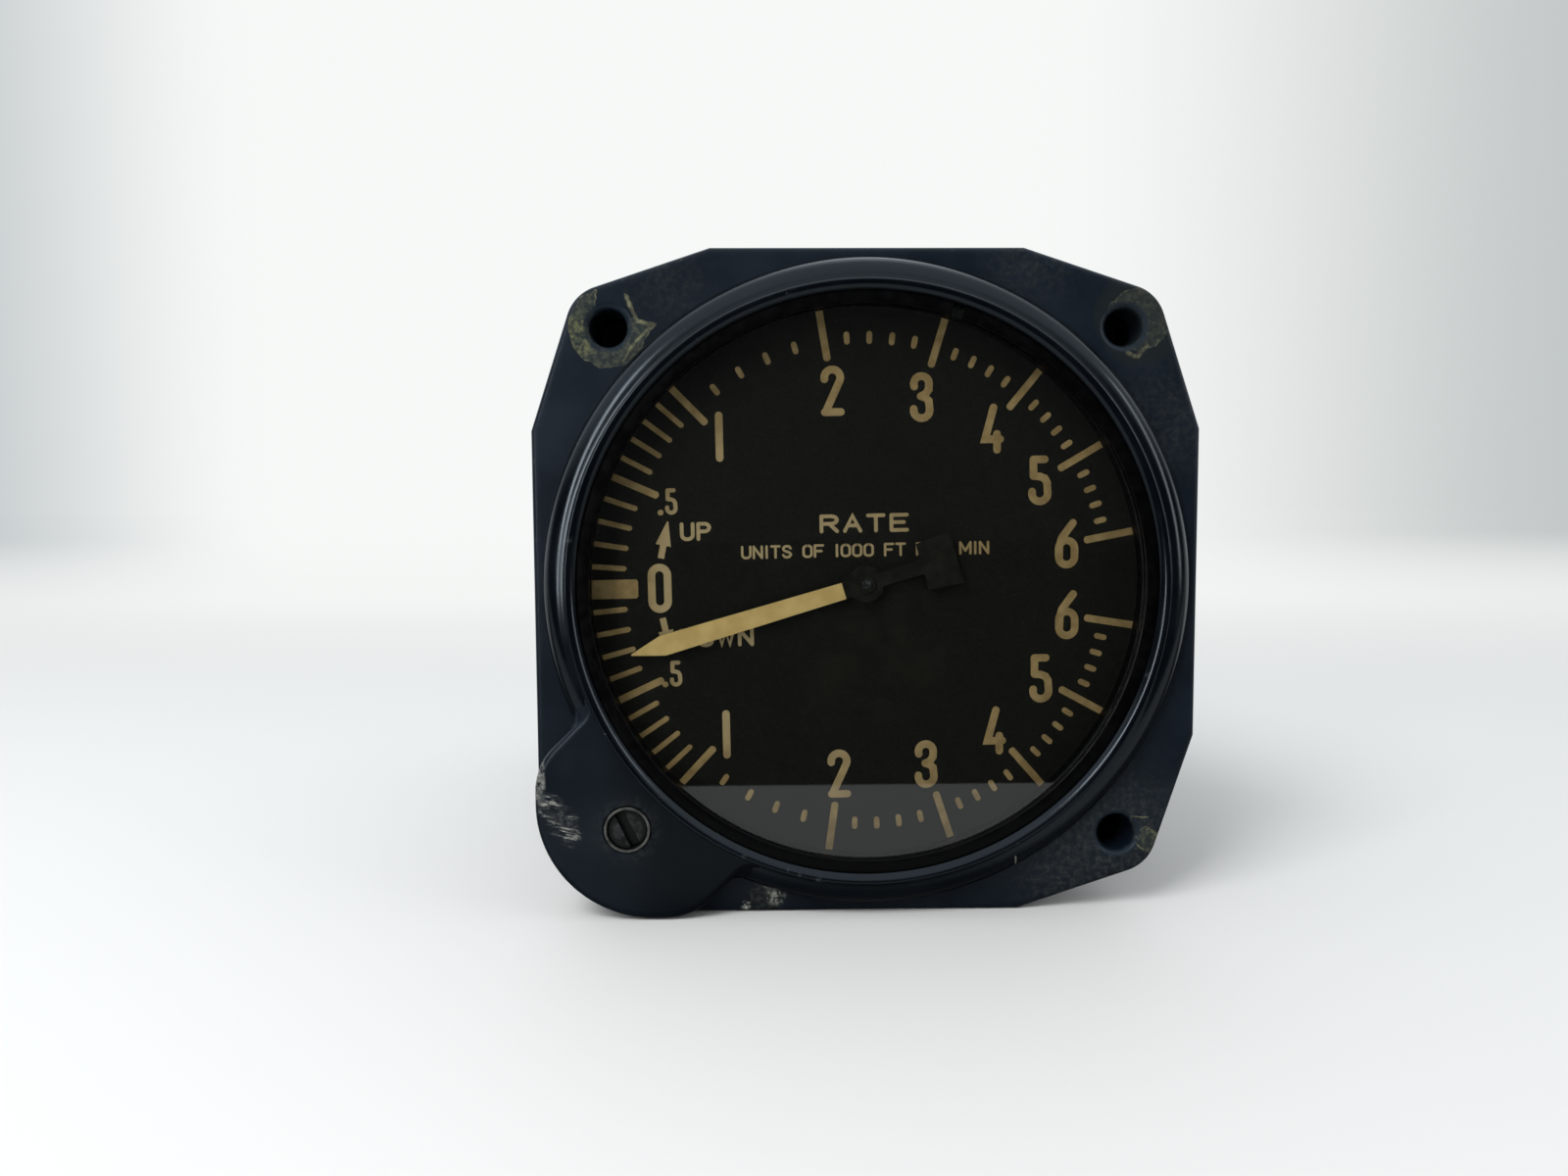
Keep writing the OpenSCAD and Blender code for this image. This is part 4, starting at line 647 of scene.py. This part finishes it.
# %% A finish and its patterns
class Finish(Network):
    """A Principled material, and the patterns that drive it; shine is its specular level."""

    def __init__(self, name, colour, roughness, shine=0.5, **sockets):
        self.material = bpy.data.materials.new(name)
        self.material.use_nodes = True
        super().__init__(self.material.node_tree)
        self.shader = self.tree.nodes["Principled BSDF"]
        sockets.update(Base_Color=(*colour, 1), Roughness=roughness, Specular_IOR_Level=shine)
        for socket, value in sockets.items():
            self.shader.inputs[socket.replace("_", " ")].default_value = value
        self.place = self.tree.nodes.new("ShaderNodeTexCoord").outputs["Object"]
        self.plain = self.vector("MULTIPLY", self.place, (1, 0, 1))
        self.outline = self.plain

    def vector(self, operation, a, b, output="Vector"):
        return self.node("VectorMath", {0: a, 1: b}, operation=operation).outputs[output]

    def axis(self, letter):
        return self.node("SeparateXYZ", {0: self.place}).outputs["XYZ".index(letter)]

    def past(self, letter, low, high, to_low=0.0, to_high=1.0):
        """Goes from 0 to 1, or between two levels, from one place in mm to another along an axis."""
        return self.ramp(self.axis(letter), low * MM, high * MM, to_low, to_high)

    def noise(self, size, detail=3, rough=0.55, stretch=(1, 1, 1)):
        """Noise from 0 to 1 with features of a size in mm, drawn out along an axis by stretch."""
        place = self.node("Mapping", {"Vector": self.place, "Scale": stretch}).outputs[0]
        return self.node("TexNoise", {"Vector": place, "Scale": 1 / (size * MM), "Detail": detail,
                                      "Roughness": rough}).outputs["Fac"]

    def worn_edges(self):
        """The wear that mark_wear stored, 1 where an edge is rubbed most."""
        return self.node("Attribute", attribute_name="wear").outputs["Fac"]

    def fray(self, size, amount):
        """Makes the outlines that follow ragged: the pattern place, seen from the front, shaken by noise."""
        noise = self.node("TexNoise", {"Vector": self.place, "Scale": 1 / (size * MM), "Detail": 5})
        shake = self.vector("SUBTRACT", noise.outputs["Color"], (0.5, 0.5, 0.5))
        shaken = self.vector("MULTIPLY_ADD", shake, (amount * MM,) * 3)
        self.tree.links.new(self.place, shaken.node.inputs[2])
        self.outline = self.vector("MULTIPLY", shaken, (1, 0, 1))

    def near(self, x, z, full, none):
        """1 within a distance in mm of a line along Y through (x, z), falling to 0 further out."""
        away = self.vector("DISTANCE", self.outline, (x * MM, 0, z * MM), "Value")
        return self.ramp(away, full * MM, none * MM, 1, 0)

    def along(self, path, full, none):
        """1 within a distance in mm of a path of (x, z) points seen from the front, falling to 0.

        Adding 0 with the clamp on keeps the nearest point between the two ends of a run.
        """
        shortest = None
        for (x0, z0), (x1, z1) in zip(path, path[1:]):
            run = Vector((x1 - x0, 0, z1 - z0)) * MM
            offset = self.vector("SUBTRACT", self.outline, (x0 * MM, 0, z0 * MM))
            share = self.vector("DOT_PRODUCT", offset, tuple(run / run.length_squared), "Value")
            foot = self.node("VectorMath", {0: tuple(run), "Scale": self.maths("ADD", share, 0)},
                             operation="SCALE")
            away = self.vector("DISTANCE", offset, foot.outputs[0], "Value")
            shortest = away if shortest is None else self.maths("MINIMUM", shortest, away)
        return self.ramp(shortest, full * MM, none * MM, 1, 0)

    def paint(self, colour=None, roughness=None, metallic=None, height=None, depth=0.05):
        """Joins finished patterns to the shader; depth is the bump's height in mm."""
        for socket, value in (("Base Color", colour), ("Roughness", roughness), ("Metallic", metallic)):
            if value is not None:
                self.tree.links.new(value, self.shader.inputs[socket])
        if height is not None:
            bump = self.node("Bump", {"Height": height, "Distance": depth * MM, "Strength": 1.0})
            self.tree.links.new(bump.outputs[0], self.shader.inputs["Normal"])
        return self.show(self.shader)

    def show(self, shader):
        """Puts a shader on the surface, the Principled one or another in its place."""
        self.tree.links.new(shader.outputs[0], self.tree.nodes["Material Output"].inputs[0])
        print(f"{self.material.name}: {len(self.tree.nodes)} nodes")
        return self.material


def dress(material, *pieces):
    for piece in pieces:
        piece.data.materials.clear()
        piece.data.materials.append(material)


# %% [markdown]
# ## The case paint
# The case wears a blue-black service paint over yellow-green primer. It has gone through at the holes,
# where screws turned, along the lobe, where a hand steadied it, and in one chip at the bottom. Each worn
# place is a soft spot or a thin path seen from the front, and noise shakes its outline until it is ragged.

# %% Mix the case paint
def blue_black(name, roughness, depth=1.0, shine=0.3):
    """The paint before its marks, with its clouds and specks kept at hand for them; depth scales its tone, and a
    depth below 1 makes a darker copy as painted shade.
    """
    f = Finish(name, (0.004, 0.007, 0.011), roughness, shine, Specular_Tint=(0.78, 0.90, 1, 1))
    f.cloud = f.noise(9, 4)
    f.speck = f.noise(0.45, 2, 0.6)
    f.mottle = f.ramp(f.noise(0.7, 6, 0.65), 0.40, 0.66)
    deep, pale = ([depth * c for c in tone] for tone in ((0.0030, 0.0055, 0.0098), (0.0058, 0.0092, 0.0148)))
    tone = f.blend(f.ramp(f.cloud, 0.3, 0.7), deep, pale)
    tone = f.blend(f.ramp(f.speck, 0.74, 0.82), tone, (0.022, 0.027, 0.033))
    nicks = f.ramp(f.noise(2.4, 5, 0.65), 0.62, 0.69)
    f.tone = f.blend(f.times(f.worn_edges(), nicks, 0.5), tone, (0.075, 0.08, 0.085))
    f.front = f.past("Y", -4.1, -4.5)
    f.roughness = f.ramp(f.cloud, 0.25, 0.75, roughness - 0.04, roughness + 0.04)
    return f


def scuff(f, x, z, full, none, strength):
    """Rubs a broad soft spot of the paint to a mottled grey."""
    spot = f.times(f.near(x, z, full, none), strength)
    rubbed = f.times(spot, f.front, f.ramp(f.noise(0.8, 8, 0.75), 0.42, 0.66))
    f.tone = f.blend(rubbed, f.tone, (0.030, 0.032, 0.030))


# Painted shade: the ring gets the same paint at 0.35 of its tone, standing in for the dark it mirrors.
f = shaded_ring_paint = blue_black("case paint on the ring and barrel", 0.17, 0.35, 0.5)
behind = f.past("Y", -1, 1)
drawn = f.ramp(f.noise(0.5, 5, 0.65, stretch=(1, 0.12, 1)), 0.50, 0.66)
handled = f.times(drawn, behind, f.ramp(f.noise(16, 5), 0.46, 0.68, 0.03, 0.55))
barrel_tone = f.blend(f.ramp(f.cloud, 0.3, 0.7), (0.0034, 0.0060, 0.0104), (0.0062, 0.0098, 0.0156))
colour = f.blend(handled, f.blend(behind, f.tone, barrel_tone), (0.040, 0.044, 0.046))
nick = f.times(f.along([(18.2, -33.6), (18.4, -34.8)], 0.02, 0.16), f.front)
rough = f.maths("ADD", f.roughness, f.times(f.maths("ADD", behind, handled), 0.24))
f.paint(f.blend(nick, colour, (0.13, 0.13, 0.12)), rough, None, f.noise(0.9, 3), 0.004)
dress(f.material, barrel, boss)

# %% Let the primer through at the corners of the flange
f = blue_black("case paint on the flange", 0.38)
scuff(f, 31, -36, 6, 16, 0.9)
scuff(f, -24, 36.5, 1, 8, 0.4)
scuff(f, 20, 40, 1, 9, 0.5)
scuff(f, 37, 20, 2, 11, 0.45)
f.fray(1.6, 1.5)
upper_left = f.times(f.near(-31.4, 31.4, 4.5, 5.0), f.inverse(f.near(-29.4, 34.4, 3.0, 4.0)))
upper_left = f.most(upper_left, f.near(-27.9, 31.1, 1.2, 2.0))
right_spot = (33.2, 32.4)
upper_right = f.times(f.near(*right_spot, 3.4, 4.4), 0.86)
lower_right = f.times(f.near(35.5, -32.3, 1.0, 2.3), 0.9)
worn = f.times(f.most(upper_left, upper_right, lower_right), f.front,
               f.ramp(f.noise(1.1, 6, 0.62), 0.3, 0.6, 0.55, 1.1, smooth=False))
primer = f.ramp(worn, 0.40, 0.48)
border = f.times(primer, f.ramp(worn, 0.50, 0.60, 0.8, 0))
greenest = f.near(-35.2, 30.4, 1.2, 3.4)
pale_flake = f.blend(greenest, (0.050, 0.054, 0.038), (0.100, 0.104, 0.048))
colour = f.blend(primer, f.tone, f.blend(f.mottle, (0.013, 0.018, 0.018), pale_flake))
dulled = f.times(f.near(*right_spot, 5, 6), 0.5)

f.fray(0.9, 0.6)
ridge_paths = [([(-29.2, 35.2), (-27.9, 32.2), (-25.8, 31.8)], 0.10, 0.34),
               ([(-25.8, 31.8), (-27.9, 30.0), (-29.6, 27.5)], 0.06, 0.26),
               ([(31.8, 28.2), (33.0, 27.8), (34.2, 29.0)], 0.12, 0.36),
               ([(33.2, -29.3), (35.3, -29.4)], 0.03, 0.16), ([(33.2, -29.4), (34.2, -32.4)], 0.02, 0.15)]
ridge = f.most(border, *(f.along(path, full, none) for path, full, none in ridge_paths))
ridge = f.times(ridge, f.front, f.ramp(f.mottle, 0, 1, 0.3, 0.95))
colour = f.blend(ridge, colour, (0.150, 0.146, 0.080))
colour = f.blend(dulled, colour, (0.010, 0.012, 0.011))
f.outline = f.plain
# Painted highlight: the rounded mouths of the mounting holes get a lighter blue.
mouth_highlight = f.most(*(f.near(x, z, 2.75, 3.15) for x, z in holes))
mouth_highlight = f.times(mouth_highlight, f.front)
colour = f.blend(f.times(mouth_highlight, f.ramp(f.mottle, 0, 1, 0.95, 0.7)), colour, (0.009, 0.0145, 0.022))

# %% Chip the lower edge
f.fray(0.8, 0.7)
chip = f.near(-12.9, -39.3, 1.6, 2.7)
flecks = f.most(f.near(-15.2, -40.3, 0.2, 0.9), f.near(-11.4, -39.0, 0.3, 1.5), f.near(-12.6, -37.6, 0.1, 0.8))
flecks = f.times(flecks, f.front, f.ramp(f.noise(0.55, 5, 0.7), 0.44, 0.62))
chip_tone = f.blend(f.mottle, (0.004, 0.005, 0.005), (0.03, 0.032, 0.028))
colour = f.blend(f.times(chip, 0.85), colour, chip_tone)
colour = f.blend(flecks, colour, (0.30, 0.30, 0.26))
rough = f.maths("ADD", f.roughness, f.times(primer, 0.3))
sunken = f.maths("SUBTRACT", 0.6, f.times(f.most(primer, chip), 0.4), clamp=False)
f.paint(colour, rough, None, f.maths("ADD", sunken, f.times(ridge, 0.4)), 0.05)
dress(f.material, flange)

# %% Shade the lobe by the ring and scratch it
# Painted shade: the lobe gets the same paint at 0.8 of its tone.
f = blue_black("case paint on the lobe", 0.34, 0.8)
# Painted shade: the lobe goes near black next to the ring, more so towards its right side.
painted_shade_by_ring = f.times(f.near(0, 0, 41, 53), f.past("X", -35, -25, 0, 0.95))
f.tone = f.blend(painted_shade_by_ring, f.tone, (0.0008, 0.0014, 0.0022))
scuff(f, setter, setter, 2.9, 5.2, 0.4)
f.fray(0.8, 0.6)
turned_place = f.node("Mapping", {"Vector": f.place, "Rotation": (0, radians(-13), 0)}).outputs[0]
drawn_place = f.node("Mapping", {"Vector": turned_place, "Scale": (0.16, 1, 1)}).outputs[0]
streaks = f.node("TexNoise", {"Vector": drawn_place, "Scale": 1 / (0.42 * MM), "Detail": 4, "Roughness": 0.6})
streaks = f.ramp(streaks.outputs["Fac"], 0.52, 0.63)
rubbed_patch = f.most(f.near(-38.9, -26.7, 0.8, 2.0), f.near(-37.6, -28.6, 1.0, 2.4),
                      f.near(-36.6, -30.4, 0.4, 1.6))
scratches = f.times(rubbed_patch, streaks)
haze = f.times(rubbed_patch, f.times(f.mottle, 0.16))
rim_rub = f.times(f.near(-40.6, -23.6, 1.4, 3.0), f.ramp(f.noise(0.8, 5, 0.65), 0.38, 0.58),
                  f.past("X", -39.4, -39.9))
bare = f.times(f.most(scratches, haze, rim_rub), f.front)
bare_metal = f.blend(f.ramp(f.speck, 0.35, 0.65), (0.11, 0.115, 0.11), (0.33, 0.33, 0.30))
f.paint(f.blend(bare, f.tone, bare_metal), f.roughness, f.times(bare, 0.5), f.inverse(bare), 0.03)
dress(f.material, lobe)

# %% [markdown]
# ## Glass, dial and cream paint
# The window must let the dial through and still throw back the bench in front of it. A transparent
# shader with a Fresnel share of gloss on its entering side does both, under a few specks of dust. The dial
# is matt black gone brown in one patch, and the cream paint is old, thick and blotched.

# %% Make the window glass
f = clear = Finish("window glass", (0.9, 0.95, 0.95), 0.02)
through = f.node("BsdfTransparent", {"Color": (0.97, 0.985, 0.98, 1)})
shine = f.node("BsdfGlossy", {"Color": (0.8, 0.8, 0.8, 1), "Roughness": 0.02})
entering = f.inverse(f.node("NewGeometry").outputs["Backfacing"])
window = f.mix_shaders(f.times(f.node("Fresnel", {"IOR": 1.5}).outputs[0], 3.0, entering), through, shine)
dust_bits = f.ramp(f.noise(0.16, 1, 0.4), 0.76, 0.80)
dust_share = f.times(dust_bits, f.ramp(f.noise(14, 2), 0.45, 0.7, 0, 0.35), entering)
dust = f.node("BsdfDiffuse", {"Color": (0.4, 0.4, 0.38, 1)})
f.show(f.mix_shaders(dust_share, window, dust))
dress(f.material, glass)

# %% Age the dial
f = dial_black = Finish("aged dial black", (0.004, 0.004, 0.0036), 0.6, 0.08)
grain = f.noise(0.35, 3)
stain = f.times(f.near(1.5, -9, 4, 13), f.ramp(f.noise(3.5, 4), 0.35, 0.7))
colour = f.blend(f.ramp(grain, 0.35, 0.7), (0.0046, 0.0046, 0.0035), (0.0080, 0.0078, 0.0056))
colour = f.blend(f.times(stain, 0.6), colour, (0.011, 0.011, 0.006))
f.paint(colour, f.ramp(f.noise(4, 3), 0.3, 0.7, 0.52, 0.68), None, grain, 0.004)
dress(f.material, dial)

# %% Mix the cream paints
def old_cream(name, light, dark, size, paler_left=None):
    """Thick aged paint with blotches of a size in mm, brown pinholes, and any paler patch left of the middle,
    within about 25 mm of the centre.
    """
    f = Finish(name, light, 0.75, 0.25)
    colour = f.blend(f.ramp(f.noise(size, 5), 0.32, 0.68), dark, light)
    if paler_left:
        inside = f.times(f.near(-13, -4, 10, 34), f.near(0, 0, 25, 29))
        colour = f.blend(f.times(inside, 0.7), colour, paler_left)
    pits = f.ramp(f.noise(0.22, 2), 0.66, 0.78)
    colour = f.blend(f.times(pits, 0.5), colour, tuple(0.45 * c for c in dark))
    return f.paint(colour, f.ramp(f.noise(0.6, 2), 0.3, 0.7, 0.66, 0.82), None, f.noise(0.25, 3), 0.03)


marking_cream = old_cream("marking cream", (0.256, 0.175, 0.074), (0.178, 0.117, 0.045), 1.6,
                          paler_left=(0.36, 0.275, 0.150))
pointer_cream = old_cream("pointer cream", (0.480, 0.338, 0.130), (0.400, 0.272, 0.096), 2.6)
dress(marking_cream, legend)

# %% [markdown]
# ## The plain finishes
# The rest of the pieces share a few finishes: turned and drawn metals, satin black, and rubber. One maker
# function gives each metal its fine scratches and its clouds of tarnish, and another gives paint and rubber
# their mottle and their rubbed edges.

# %% Mix metals and blacks
def metal(name, bright, dull, roughness, scratch=(1, 1, 1), tarnish=0.6):
    """Metal with fine marks drawn along the axis where scratch is small, and clouds of tarnish."""
    f = Finish(name, bright, roughness, Metallic=1.0)
    marks = f.noise(0.3, 3, 0.6, stretch=scratch)
    clouds = f.ramp(f.noise(3, 4), 0.35, 0.7)
    colour = f.blend(f.times(clouds, tarnish), bright, dull)
    rough = f.maths("ADD", f.ramp(marks, 0.3, 0.7, roughness - 0.07, roughness + 0.1),
                    f.times(clouds, 0.1))
    return f.paint(colour, rough, None, marks, 0.012)


def satin_black(name, colour, worn, roughness, shine=0.5):
    """Black paint or rubber with a little dust and lighter rubbed edges."""
    f = Finish(name, colour, roughness, shine)
    mottle = f.ramp(f.noise(1.2, 4), 0.35, 0.7)
    rubbed = f.times(f.worn_edges(), f.ramp(f.noise(1.3, 4), 0.56, 0.7), 0.7)
    lighter = tuple(1.7 * c for c in colour)
    shade = f.blend(rubbed, f.blend(mottle, colour, lighter), worn)
    rough = f.ramp(mottle, 0, 1, roughness - 0.05, roughness + 0.08)
    return f.paint(shade, rough, None, f.noise(0.3, 2), 0.003)


# %% [markdown]
# ## The adjuster's wear
# A screwdriver has worn the face of the adjuster to a mottled grey, and the rim of its bushing has been
# rubbed pale all round. Both marks are circles about the adjuster's own axis, so each needs its own finish.

# %% Wear the adjuster
screw_face = min(v.co.y for v in frame["nodes"]["zero_screw"].data.vertices) / MM
f = worn_screw = Finish("worn adjuster steel", (0.002, 0.002, 0.0024), 0.5, 0.3)
face = f.times(f.past("Y", screw_face + 0.3, screw_face + 0.1), f.near(setter, setter, 1.5, 2.15))
mottled = f.times(face, f.ramp(f.noise(0.9, 6, 0.7), 0.36, 0.66))
f.paint(f.blend(mottled, (0.0012, 0.0013, 0.0015), (0.026, 0.026, 0.028)), None, None, f.noise(0.3, 3), 0.02)
f = worn_bushing = Finish("worn bushing", (0.002, 0.002, 0.0024), 0.45, 0.3)
rim = f.times(f.near(setter, setter, 2.72, 2.95), f.inverse(f.near(setter, setter, 2.42, 2.62)),
              f.ramp(f.noise(1.6, 5, 0.7), 0.34, 0.60, 0.25, 1.0))
f.paint(f.blend(rim, (0.0016, 0.0018, 0.0022), (0.075, 0.077, 0.070)), None, None, f.noise(0.3, 3), 0.01)

# %% Gather the finishes
finishes = {
    "marking_paint": marking_cream,
    "pointer_cream": pointer_cream,
    "dial_black": dial_black.material,
    "case_paint": shaded_ring_paint.material,
    "glass": clear.material,
    "gasket": satin_black("gasket rubber", (0.01, 0.01, 0.01), (0.02, 0.02, 0.02), 0.8),
    "ring_black": satin_black("ring black", (0.0006, 0.0006, 0.0008), (0.0012, 0.0012, 0.0014), 0.34, 0.12),
    "pointer_black": satin_black("pointer black", (0.0075, 0.0074, 0.0056), (0.0085, 0.0085, 0.007),
                                 0.64, 0.02),
    "plate_brass": metal("plate brass", (0.56, 0.42, 0.19), (0.30, 0.21, 0.09), 0.34, (1, 0.2, 1)),
    "brass": metal("turned brass", (0.62, 0.45, 0.18), (0.36, 0.25, 0.10), 0.26, (1, 1, 0.15)),
    "capsule_bronze": metal("capsule bronze", (0.46, 0.29, 0.13), (0.24, 0.15, 0.08), 0.3, tarnish=0.8),
    "screw_steel": metal("screw steel", (0.42, 0.42, 0.43), (0.2, 0.19, 0.18), 0.36, (1, 1, 0.3)),
    "arbor_steel": metal("arbor steel", (0.55, 0.55, 0.57), (0.4, 0.39, 0.38), 0.2, (1, 0.1, 1)),
    "spring_steel": metal("blued spring steel", (0.16, 0.2, 0.32), (0.24, 0.2, 0.2), 0.3),
    "worn_steel": worn_screw.material,
    "bushing_metal": worn_bushing.material,
    "fitting_metal": metal("plated fitting", (0.42, 0.38, 0.27), (0.24, 0.2, 0.13), 0.42, (1, 0.3, 1)),
}

# %% Give every node and copy its finish
slot_of = {s["node"]: s["material_slot"] for s in frame["record"]["subparts"]}
for node, slot in slot_of.items():
    dress(finishes[slot], frame["nodes"][node])
dress(finishes["ring_black"], retaining_ring)
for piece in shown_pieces():
    if not piece.data.materials:
        dress(finishes[piece["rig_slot"]], piece)
print(len(slot_of), "nodes dressed with", len(finishes), "finishes")

# %% [markdown]
# ## Floor, backdrop and light
# The photograph was taken in a white tent. A big pale floor lies under the case, touching the lower edge
# of the flange and the end of the barrel. The world is bright beyond the case and overhead, and dim on the
# camera's side, which is what keeps the window dark. A square lamp at the upper left lights the face, and
# a tall one at each side makes the bright lines that the ring mirrors. What the camera sees of the floor
# and the world, and what the glossy pieces mirror of them, is set apart from the light they give.

# %% Lay the floor
floor_slope, floor_gap = 0.01413, 0.02
floor_bm = bmesh.new()
bmesh.ops.create_grid(floor_bm, x_segments=1, y_segments=1, size=3)
for v in floor_bm.verts:
    v.co.z = -half_side * MM + floor_slope * v.co.y - floor_gap * MM
floor = placed("floor", to_mesh(floor_bm, "floor"))

f = Finish("bench", (0.700, 0.711, 0.703), 0.7)
rays = f.node("LightPath").outputs
# Painted shade: the backdrop the camera sees darkens towards the left and right, where the tent's walls are in
# shade.
middle_tone, left_wall_shade, right_wall_shade = (0.925, 0.945, 0.93), (0.55, 0.585, 0.60), (0.54, 0.57, 0.57)
left_fall, right_fall = (-0.42, -0.74), (0.22, 0.76)
reach = f.maths("ADD", f.axis("Y"), -camera_place.y, clamp=False)
bearing = f.maths("DIVIDE", f.axis("X"), reach, clamp=False)
shaded_walls_tone = f.blend(f.ramp(bearing, *left_fall), middle_tone, left_wall_shade)
shaded_walls_tone = f.blend(f.ramp(bearing, *right_fall), shaded_walls_tone, right_wall_shade)
backdrop_tone = f.node("Emission", {"Color": shaded_walls_tone, "Strength": 1.0})
near_tone = f.node("Emission", {"Color": (0.895, 0.91, 0.90, 1), "Strength": 1.0})
glow_tone = f.mix_shaders(f.past("Y", 50, 1300), near_tone, backdrop_tone)
seen_far = f.times(f.past("Y", 50, 450), rays["Is Camera Ray"])
mixed = f.mix_shaders(seen_far, f.shader, glow_tone)
# Glossy rays see the floor as a glow: dark beyond dark_reach in front, brighter behind the case, and dimmed from
# shade_start to shade_end as a painted shadow of the case.
dark_reach, shade_start, shade_end = -76, -24, -9
mirrored_level = f.times(f.past("Y", dark_reach - 1, dark_reach + 1, 0.01, 0.40),
                         f.past("Y", shade_start, shade_end, 1.0, 0.12))
mirrored_level = f.maths("ADD", mirrored_level, f.past("Y", 0, 60, 0.0, 0.6))
mirror_tone = f.node("Emission", {"Color": (0.95, 1, 0.99, 1), "Strength": mirrored_level})
f.show(f.mix_shaders(rays["Is Glossy Ray"], mixed, mirror_tone))
dress(f.material, floor)

# %% Light the tent
scene.world = bpy.data.worlds.new("tent")
scene.world.use_nodes = True
tent = Network(scene.world.node_tree)
tent.tree.nodes.clear()
way = tent.node("SeparateXYZ", {0: tent.node("TexCoord").outputs["Generated"]})
across, ahead, upward = way.outputs
glow = tent.maths("ADD", tent.ramp(ahead, -0.8, 0.4, 0.22, 0.95), tent.ramp(upward, 0.3, 0.9, 0.0, 0.15),
                  clamp=False)
glossy_glow = tent.maths("ADD", tent.ramp(ahead, -0.15, 0.35, 0.02, 0.95),
                         tent.ramp(upward, 0.18, 0.55, 0.0, 0.75), clamp=False)
# The world the camera sees carries the same painted shade towards the tent's walls.
tent_bearing = tent.maths("DIVIDE", across, ahead, clamp=False)
tent_shaded_walls = tent.blend(tent.ramp(tent_bearing, *left_fall), middle_tone, left_wall_shade)
tent_shaded_walls = tent.blend(tent.ramp(tent_bearing, *right_fall), tent_shaded_walls, right_wall_shade)
rays = tent.node("LightPath").outputs
seen = tent.node("Background", {"Color": tent_shaded_walls, "Strength": 1.0})
lighting = tent.node("Background", {"Color": (0.97, 0.985, 1, 1), "Strength": glow})
mirrored = tent.node("Background", {"Color": (0.90, 0.96, 1, 1), "Strength": glossy_glow})
lit_or_mirrored = tent.mix_shaders(rays["Is Glossy Ray"], lighting, mirrored)
final = tent.mix_shaders(rays["Is Camera Ray"], lit_or_mirrored, seen)
tent.node("OutputWorld", {0: final.outputs[0]})
print("tent:", len(tent.tree.nodes), "nodes")


# %% Hang the lamps
def soft_lamp(name, place, size, power, mirrored=False):
    """An area lamp, its place, width and height in mm, that faces the middle of the dial."""
    data = bpy.data.lights.new(name, "AREA")
    data.shape = "RECTANGLE"
    data.size, data.size_y, data.energy = size[0] * MM, size[1] * MM, power
    lamp = placed(name, data)
    lamp.location = Vector(place) * MM
    lamp.rotation_mode = "QUATERNION"
    lamp.rotation_quaternion = (-lamp.location).to_track_quat("-Z", "Y")
    lamp.visible_glossy = mirrored
    print(f"{name}: {power} W")


soft_lamp("key_lamp", (-260, -340, 420), (260, 260), 2.6)
soft_lamp("left_lamp", (-300, -420, 80), (80, 420), 0.85, mirrored=True)
soft_lamp("right_lamp", (430, -250, 120), (90, 300), 0.25, mirrored=True)
scene.view_settings.view_transform = "Standard"
